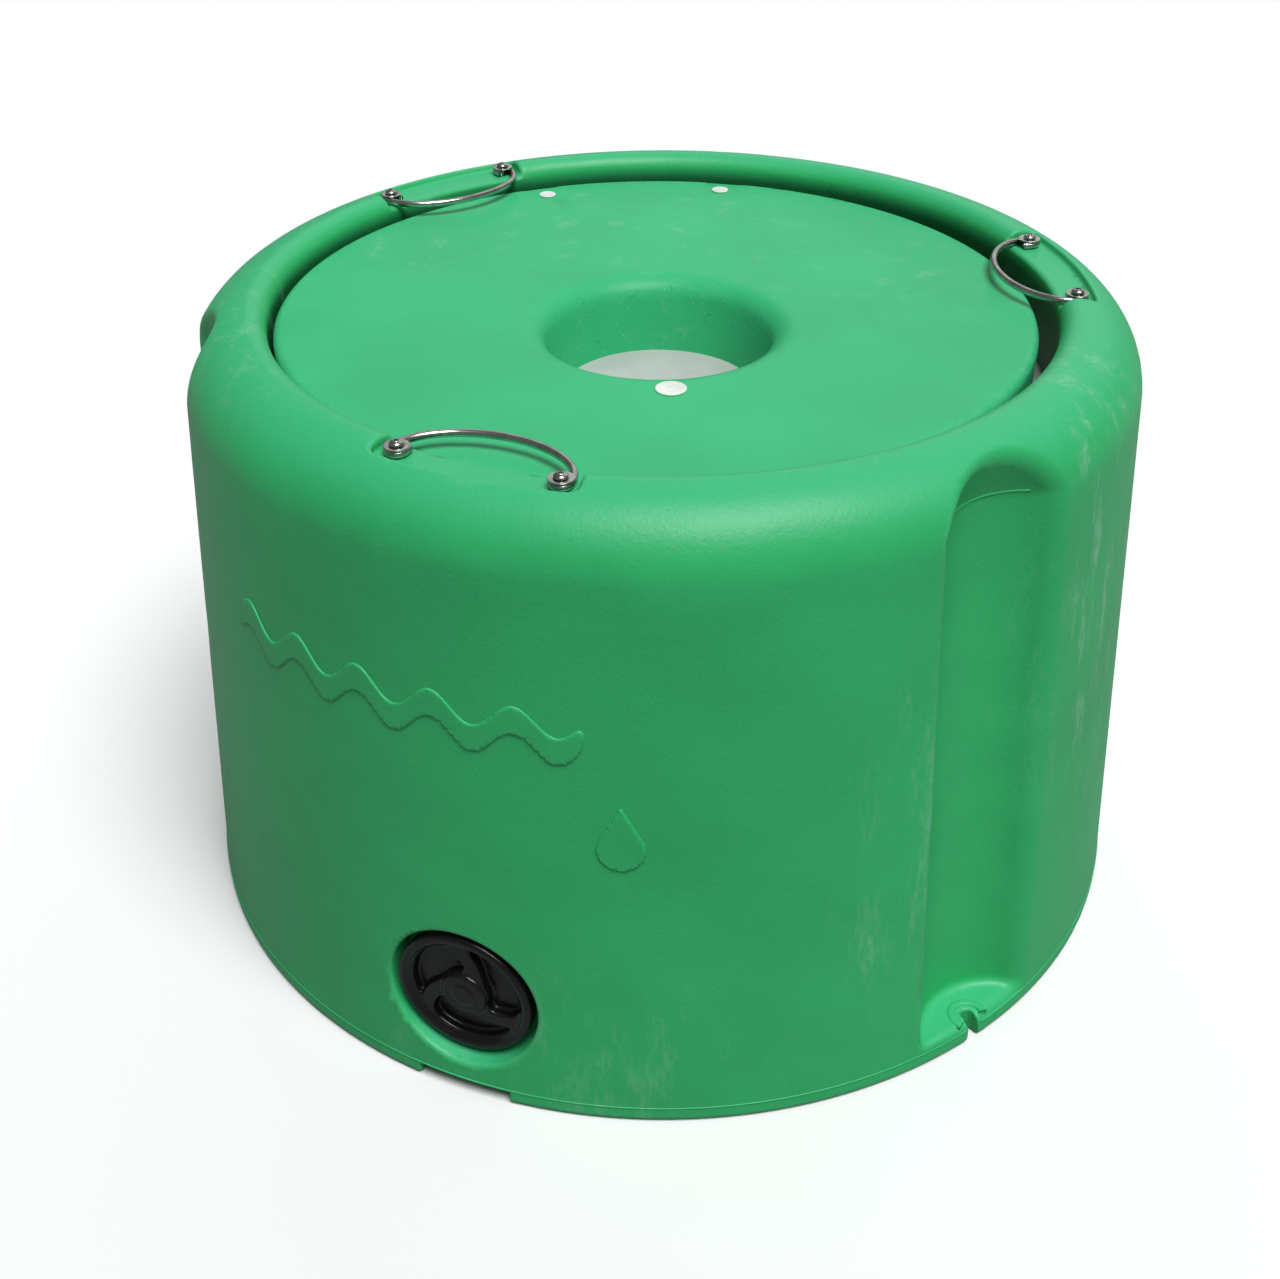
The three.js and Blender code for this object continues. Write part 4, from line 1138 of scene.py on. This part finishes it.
class DRINKER_OT_loops(bpy.types.Operator):
    """Builds the three steel loops that hold the lid in"""

    bl_idname = "drinker.loops"
    bl_label = "Retaining Loops"

    def execute(self, context):
        sizes, colours = context.scene.drinker_hardware, context.scene.drinker_colours
        flat = eased(loop_path(sizes), 6)
        section = round_section(sizes.rod, 28)
        steel = finish_named("steel", colours)
        for number, azimuth in enumerate(LOOP_AZIMUTHS, 1):
            node_name = f"loop_{number}"
            low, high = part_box(node_name)
            height = (low.z + high.z) / 2
            path = np.column_stack([flat, np.full(len(flat), height)])
            points, faces = swept_form(path, section)
            points, faces = rounded_ends(points, faces, len(section), len(path), sizes.rod)
            loop = new_piece(f"steel_loop_{number}", placed(points, azimuth), faces, steel)
            fitted(loop, "body", "steel", node_name)
        return {"FINISHED"}


def rounded_ends(points, faces, around, rows, rod):
    """Draws in the last rows of a rod, so that its cut ends have a small rounded edge."""
    points = np.array(points).reshape(rows, around, 3)
    for row, inward in ((0, 1), (rows - 1, -1)):
        centre = points[row].mean(0)
        step = points[row + inward].mean(0) - centre
        step /= np.linalg.norm(step)
        points[row] = centre + (points[row] - centre) * 0.78
        whole = points[row + 2 * inward]
        points[row + inward] = whole - whole.mean(0) + centre + step * rod * 0.22
    return points.reshape(-1, 3), faces


def screw_form(sizes, seat, tip):
    """A domed screw with a hexagon socket."""
    around = 48
    head, shank = sizes.head, 3.3 * MM
    outside = [
        (0, tip),
        (2.6 * MM, tip),
        (shank, tip + 0.8 * MM),
        (shank, seat - 0.4 * MM),
        (3.9 * MM, seat),
        (head - 0.4 * MM, seat),
        (head, seat + 0.4 * MM),
        (head, seat + 0.9 * MM),
        *[
            (head * math.cos(a), seat + 0.9 * MM + 3.6 * MM * math.sin(a))
            for a in np.linspace(0.12, 1.05, 10)
        ],
        (3.1 * MM, seat + 4.35 * MM),
    ]
    points, faces = turned_form(outside, around)
    first = len(points) - around
    rows = [[first + k for k in range(around)]]
    for reach, height in ((2.5, 4.3), (2.42, 4.05), (2.42, 1.9), (1.2, 1.5)):
        row = []
        for k in range(around):
            a = 2 * math.pi * k / around
            local = (a + math.pi / 6) % (math.pi / 3) - math.pi / 6
            r = reach * MM / math.cos(local)
            row.append(len(points))
            points.append((r * math.cos(a), r * math.sin(a), seat + height * MM))
        rows.append(row)
    for row, following in zip(rows, rows[1:]):
        for k in range(around):
            n = (k + 1) % around
            faces.append((row[k], row[n], following[n], following[k]))
    centre = len(points)
    points.append((0, 0, seat + 1.4 * MM))
    faces += [(rows[-1][k], rows[-1][(k + 1) % around], centre) for k in range(around)]
    return points, outward_faces(points, faces)


class DRINKER_OT_screws(bpy.types.Operator):
    """Builds the domed screws and washers of the loops"""

    bl_idname = "drinker.screws"
    bl_label = "Screws and Washers"

    def execute(self, context):
        sizes, colours = context.scene.drinker_hardware, context.scene.drinker_colours
        steel = finish_named("steel", colours)
        azimuths = [a + side * SCREW_HALF_ANGLE for a in LOOP_AZIMUTHS for side in (-1, 1)]
        for number, azimuth in enumerate(azimuths, 1):
            low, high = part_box(f"loop_screw_{number}")
            washer_low, washer_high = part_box(f"loop_washer_{number}")
            seat = washer_high.z + 0.3 * MM
            points, faces = screw_form(sizes, seat, low.z)
            turn = Matrix.Rotation(number * 37 * DEGREE, 4, "Z")
            points = [tuple(turn @ Vector(p)) for p in points]
            points = [(x, y, min(z, high.z)) for x, y, z in points]
            points = placed(points, azimuth, sizes.bolt_circle)
            screw = new_piece(f"dome_screw_{number}", points, faces, steel)
            fitted(screw, "body", "steel", f"loop_screw_{number}")
            edge = 0.5 * MM
            outer = sizes.washer
            profile = [
                (4.4 * MM, washer_low.z),
                *arc(outer - edge, washer_low.z + edge, edge, -90, 0, 4),
                *arc(outer - edge, washer_high.z - edge, edge, 0, 90, 4),
                (4.8 * MM, washer_high.z),
                (4.4 * MM, washer_high.z - 0.3 * MM),
                (4.4 * MM, washer_low.z),
            ]
            points, faces = turned_form(profile, 48)
            points = placed(points, azimuth, sizes.bolt_circle)
            washer = new_piece(f"washer_{number}", points, faces, steel)
            fitted(washer, "body", "steel", f"loop_washer_{number}")
        for piece in bpy.context.scene.objects:
            if piece.name.startswith(("dome_screw", "washer_")):
                piece.data.set_sharp_from_angle(angle=38 * DEGREE)
        return {"FINISHED"}


# ---------- the drain plug ----------
def plug_field(sizes, low, high):
    """Distance to the drain plug's surface, with lift measured outwards."""
    top = high - 1.5 * MM
    rim = sizes.plug
    neck = 39 * MM
    shoulder = top - 17 * MM
    section = turned_outline(
        [
            (0, shoulder - 18 * MM),
            (neck - 6 * MM, shoulder - 18 * MM),
            (neck - 6 * MM, low + 1 * MM),
            (neck - 5 * MM, low),
            (neck - 1 * MM, low),
            (neck, low + 1 * MM),
            (neck, shoulder),
            (rim - 2 * MM, shoulder),
            (rim, shoulder + 3 * MM),
            *arc(rim - 5 * MM, top - 5 * MM, 5 * MM, 0, 90, 8),
            *arc(rim - 7 * MM, top - 5 * MM, 5 * MM, 90, 150, 5),
            (rim - 15 * MM, top - 5 * MM),
            (29 * MM, top - 4 * MM),
            *arc(22 * MM, top - 4 * MM, 4 * MM, 10, 90, 6),
            (13.5 * MM, top),
            (12.5 * MM, top + 1.2 * MM),
            (11.5 * MM, top + 1.5 * MM),
            (0, top + 1.5 * MM),
        ],
        spacing=0.7 * MM,
        margin=15 * MM,
    )
    outer, inner = rim - 16 * MM, 27 * MM
    sweep, first_arm, third = 32 * DEGREE, 98 * DEGREE, 120 * DEGREE
    half_arm, pocket_depth, corner = 10.5 * MM, 15 * MM, 9 * MM

    def field(x, y, lift):
        away = np.hypot(x, y)
        solid = section(away, lift)
        swirl = sweep * np.clip((outer - away) / (outer - inner), -0.3, 1.3)
        angle = np.arctan2(y, x) + swirl - first_arm
        from_arm = np.abs(np.mod(angle + third / 2, third) - third / 2) * away - half_arm
        ring = round_common(away - outer, inner - away, corner)
        hollow = round_common(ring, -from_arm, corner)
        hollow = round_common(hollow, top - pocket_depth - lift, 3 * MM)
        return carve(solid, hollow, 3 * MM)

    return field


class DRINKER_OT_drain(bpy.types.Operator):
    """Builds the black drain plug with its hand wheel"""

    bl_idname = "drinker.drain"
    bl_label = "Drain Plug"

    def execute(self, context):
        sizes, colours = context.scene.drinker_hardware, context.scene.drinker_colours
        low, high = -PLUG_HIGH.y, -PLUG_LOW.y
        field = plug_field(sizes, low, high)
        rim = sizes.plug
        grid = 1.25 * MM * 1
        points, faces, slope, bend = meshed(field, (-rim, -rim, low), (rim, rim, high), grid, 0.03)
        height = (PLUG_LOW.z + PLUG_HIGH.z) / 2
        moved = np.stack([points[:, 0], -points[:, 2], height + points[:, 1]], 1)
        plug = new_piece("drain_plug_wheel", moved.tolist(), faces, finish_named("black", colours))
        shaded(plug, np.stack([slope[:, 0], -slope[:, 2], slope[:, 1]], 1))
        store(plug, "bend", bend)
        fitted(plug, "drain_plug", "black_gloss", "drain_plug")
        return {"FINISHED"}


# ---------- pieces that stay as the frame has them ----------
INSIDE_FINISHES = {
    "foam": ["body_foam", "lid_foam"],
    "brass": [*[f"loop_insert_{i}" for i in range(1, 7)], "float_lever", "valve_plunger"],
    "steel": ["lever_pin"],
    "rubber": ["drain_seal", "inlet_gasket"],
    "pipe": [
        *["drain_bush", "inlet_pipe", "inlet_nut_low", "inlet_nut_top"],
        *[f"base_plug_{i}" for i in range(1, 4)],
    ],
    "white": ["valve_body"],
}


class DRINKER_OT_inside(bpy.types.Operator):
    """Gives the foam, inserts, pipe, valve and seals their finishes, and builds the float"""

    bl_idname = "drinker.inside"
    bl_label = "Inner Pieces"

    def execute(self, context):
        colours = context.scene.drinker_colours
        for finish, names in INSIDE_FINISHES.items():
            material = finish_named(finish, colours)
            for name in names:
                piece = frame["nodes"][name]
                for slot in piece.material_slots:
                    slot.material = material
                if not piece.material_slots:
                    piece.data.materials.append(material)
        low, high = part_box("float_ball")
        centre = (low + high) / 2
        radius = (high.z - low.z) / 2
        seam = [(math.cos(a), math.sin(a)) for a in np.linspace(-math.pi / 2, math.pi / 2, 41)]
        profile = []
        for c, s in seam:
            swell = 1.0 if abs(s) < 0.03 else 0.985
            profile.append((radius * swell * c, radius * swell * s))
        profile[0], profile[-1] = (0, profile[0][1]), (0, profile[-1][1])
        points, faces = turned_form(profile, 56)
        moved = [tuple(centre + Vector(p)) for p in points]
        ball = new_piece("float_ball_seamed", moved, faces, finish_named("blue", colours))
        fitted(ball, "lever", "blue_plastic", "float_ball")
        return {"FINISHED"}


# ---------- stage ----------
def water_surface(sizes):
    """Still water in the tank, seen through the drinking hole."""
    made, tree, shader = new_material("still_water", 0.16, Specular_IOR_Level=0.5)
    place = object_place(tree)
    mix_share = noise(tree, place, 7.0, 6.0)
    tone = blended(tree, ramped(tree, mix_share, 0.3, 0.7), (0.42, 0.44, 0.43, 1), (0.55, 0.56, 0.55, 1))
    tree.links.new(tone, shader.inputs["Base Color"])
    ripple = noise(tree, place, 16.0, 2.0)
    bumped(tree, shader, times(tree, ripple, 0.0015))
    level = sizes.height - 104 * MM
    edge = sizes.mouth_radius - 1.5 * MM
    under = level - 3 * MM
    rim = [(edge - 3 * MM, under), (edge, level + 1 * MM), (edge - 6 * MM, level)]
    profile = [(0, under), *rim, (0, level)]
    points, faces = turned_form(profile, 96)
    return new_piece("water", points, faces, made)


def soft_sun(name, azimuth, elevation, strength, spread):
    """A distant soft light from an azimuth and elevation, spread over that many degrees."""
    data = bpy.data.lights.new(name, "SUN")
    data.energy, data.angle = strength, spread * DEGREE
    lamp = bpy.data.objects.new(name, data)
    a, e = azimuth * DEGREE, elevation * DEGREE
    back = Vector((math.sin(a) * math.cos(e), -math.cos(a) * math.cos(e), math.sin(e)))
    lamp.rotation_mode = "QUATERNION"
    lamp.rotation_quaternion = back.to_track_quat("Z", "Y")
    bpy.context.scene.collection.objects.link(lamp)
    return lamp


class DRINKER_OT_stage(bpy.types.Operator):
    """Builds the floor, the water, the lights and the camera"""

    bl_idname = "drinker.stage"
    bl_label = "Stage"

    def execute(self, context):
        scene = context.scene
        made, tree, shader = new_material("pale_floor", 0.9, Specular_IOR_Level=0.1)
        seen = node(tree, "ShaderNodeLightPath").outputs["Is Camera Ray"]
        floor_colour = blended(tree, seen, rgba((0.30, 0.31, 0.32)), rgba((0.87, 0.87, 0.88)))
        tree.links.new(floor_colour, shader.inputs["Base Color"])
        signs = [(-1, -1), (1, -1), (1, 1), (-1, 1)]
        corners = [(a * FLOOR_HALF_SIDE, b * FLOOR_HALF_SIDE, FLOOR_LEVEL) for a, b in signs]
        floor = new_piece("floor", corners, [(0, 1, 2, 3)], made, smooth=False)
        water_surface(scene.drinker_body)

        world = bpy.data.worlds.new("soft_sky")
        scene.world = world
        world.use_nodes = True
        sky = world.node_tree
        seen = node(sky, "ShaderNodeLightPath").outputs["Is Camera Ray"]
        background = sky.nodes["Background"].inputs
        background["Color"].default_value = (1, 1, 1, 1)
        strength = maths(sky, "MULTIPLY_ADD", seen, SKY_SEEN, SKY_LIGHT)
        sky.links.new(strength, background["Strength"])
        soft_sun("key", 52, 66, 3.2, 32)
        soft_sun("fill", 185, 35, 0.45, 60)
        scene.view_settings.view_transform = "Standard"

        data = bpy.data.cameras.new("camera")
        data.lens, data.sensor_width = LENS, SENSOR
        camera = bpy.data.objects.new("camera", data)
        around = CAMERA_AZIMUTH * DEGREE
        x, y = CAMERA_DISTANCE * math.sin(around), -CAMERA_DISTANCE * math.cos(around)
        camera.location = (x, y, CAMERA_HEIGHT)
        turn = Matrix.Rotation(around + CAMERA_ASIDE * DEGREE, 3, "Z")
        tilt = Matrix.Rotation((90 - CAMERA_DOWN) * DEGREE, 3, "X")
        roll = Matrix.Rotation(CAMERA_ROLL * DEGREE, 3, "Z")
        camera.rotation_euler = (turn @ tilt @ roll).to_euler()
        scene.collection.objects.link(camera)
        scene.camera = camera
        return {"FINISHED"}


# ---------- add-on ----------
OPERATORS = (
    DRINKER_OT_body,
    DRINKER_OT_lid,
    DRINKER_OT_lid_plugs,
    DRINKER_OT_loops,
    DRINKER_OT_screws,
    DRINKER_OT_drain,
    DRINKER_OT_inside,
    DRINKER_OT_stage,
)
GROUPS = {
    "drinker_body": DrinkerBodySizes,
    "drinker_lid": DrinkerLidSizes,
    "drinker_hardware": DrinkerHardwareSizes,
    "drinker_colours": DrinkerColours,
}


class DRINKER_PT_panel(bpy.types.Panel):
    """Lists the drinker's sizes, colours and pieces"""

    bl_idname = "DRINKER_PT_panel"
    bl_label = "Livestock Drinker"
    bl_space_type = "VIEW_3D"
    bl_region_type = "UI"
    bl_category = "Drinker"

    def draw(self, context):
        for key, group in GROUPS.items():
            box = self.layout.box()
            box.label(text=group.__doc__.rstrip("."))
            for name in group.__annotations__:
                box.prop(getattr(context.scene, key), name)
        for operator in OPERATORS:
            self.layout.operator(operator.bl_idname)


def register():
    for made in (*GROUPS.values(), *OPERATORS, DRINKER_PT_panel):
        bpy.utils.register_class(made)
    for key, group in GROUPS.items():
        setattr(bpy.types.Scene, key, bpy.props.PointerProperty(type=group))


def unregister():
    for key in GROUPS:
        delattr(bpy.types.Scene, key)
    for made in reversed((*GROUPS.values(), *OPERATORS, DRINKER_PT_panel)):
        bpy.utils.unregister_class(made)


def main():
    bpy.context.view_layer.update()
    register()
    for operator in OPERATORS:
        family, name = operator.bl_idname.split(".")
        getattr(getattr(bpy.ops, family), name)()


if __name__ == "__main__":
    main()
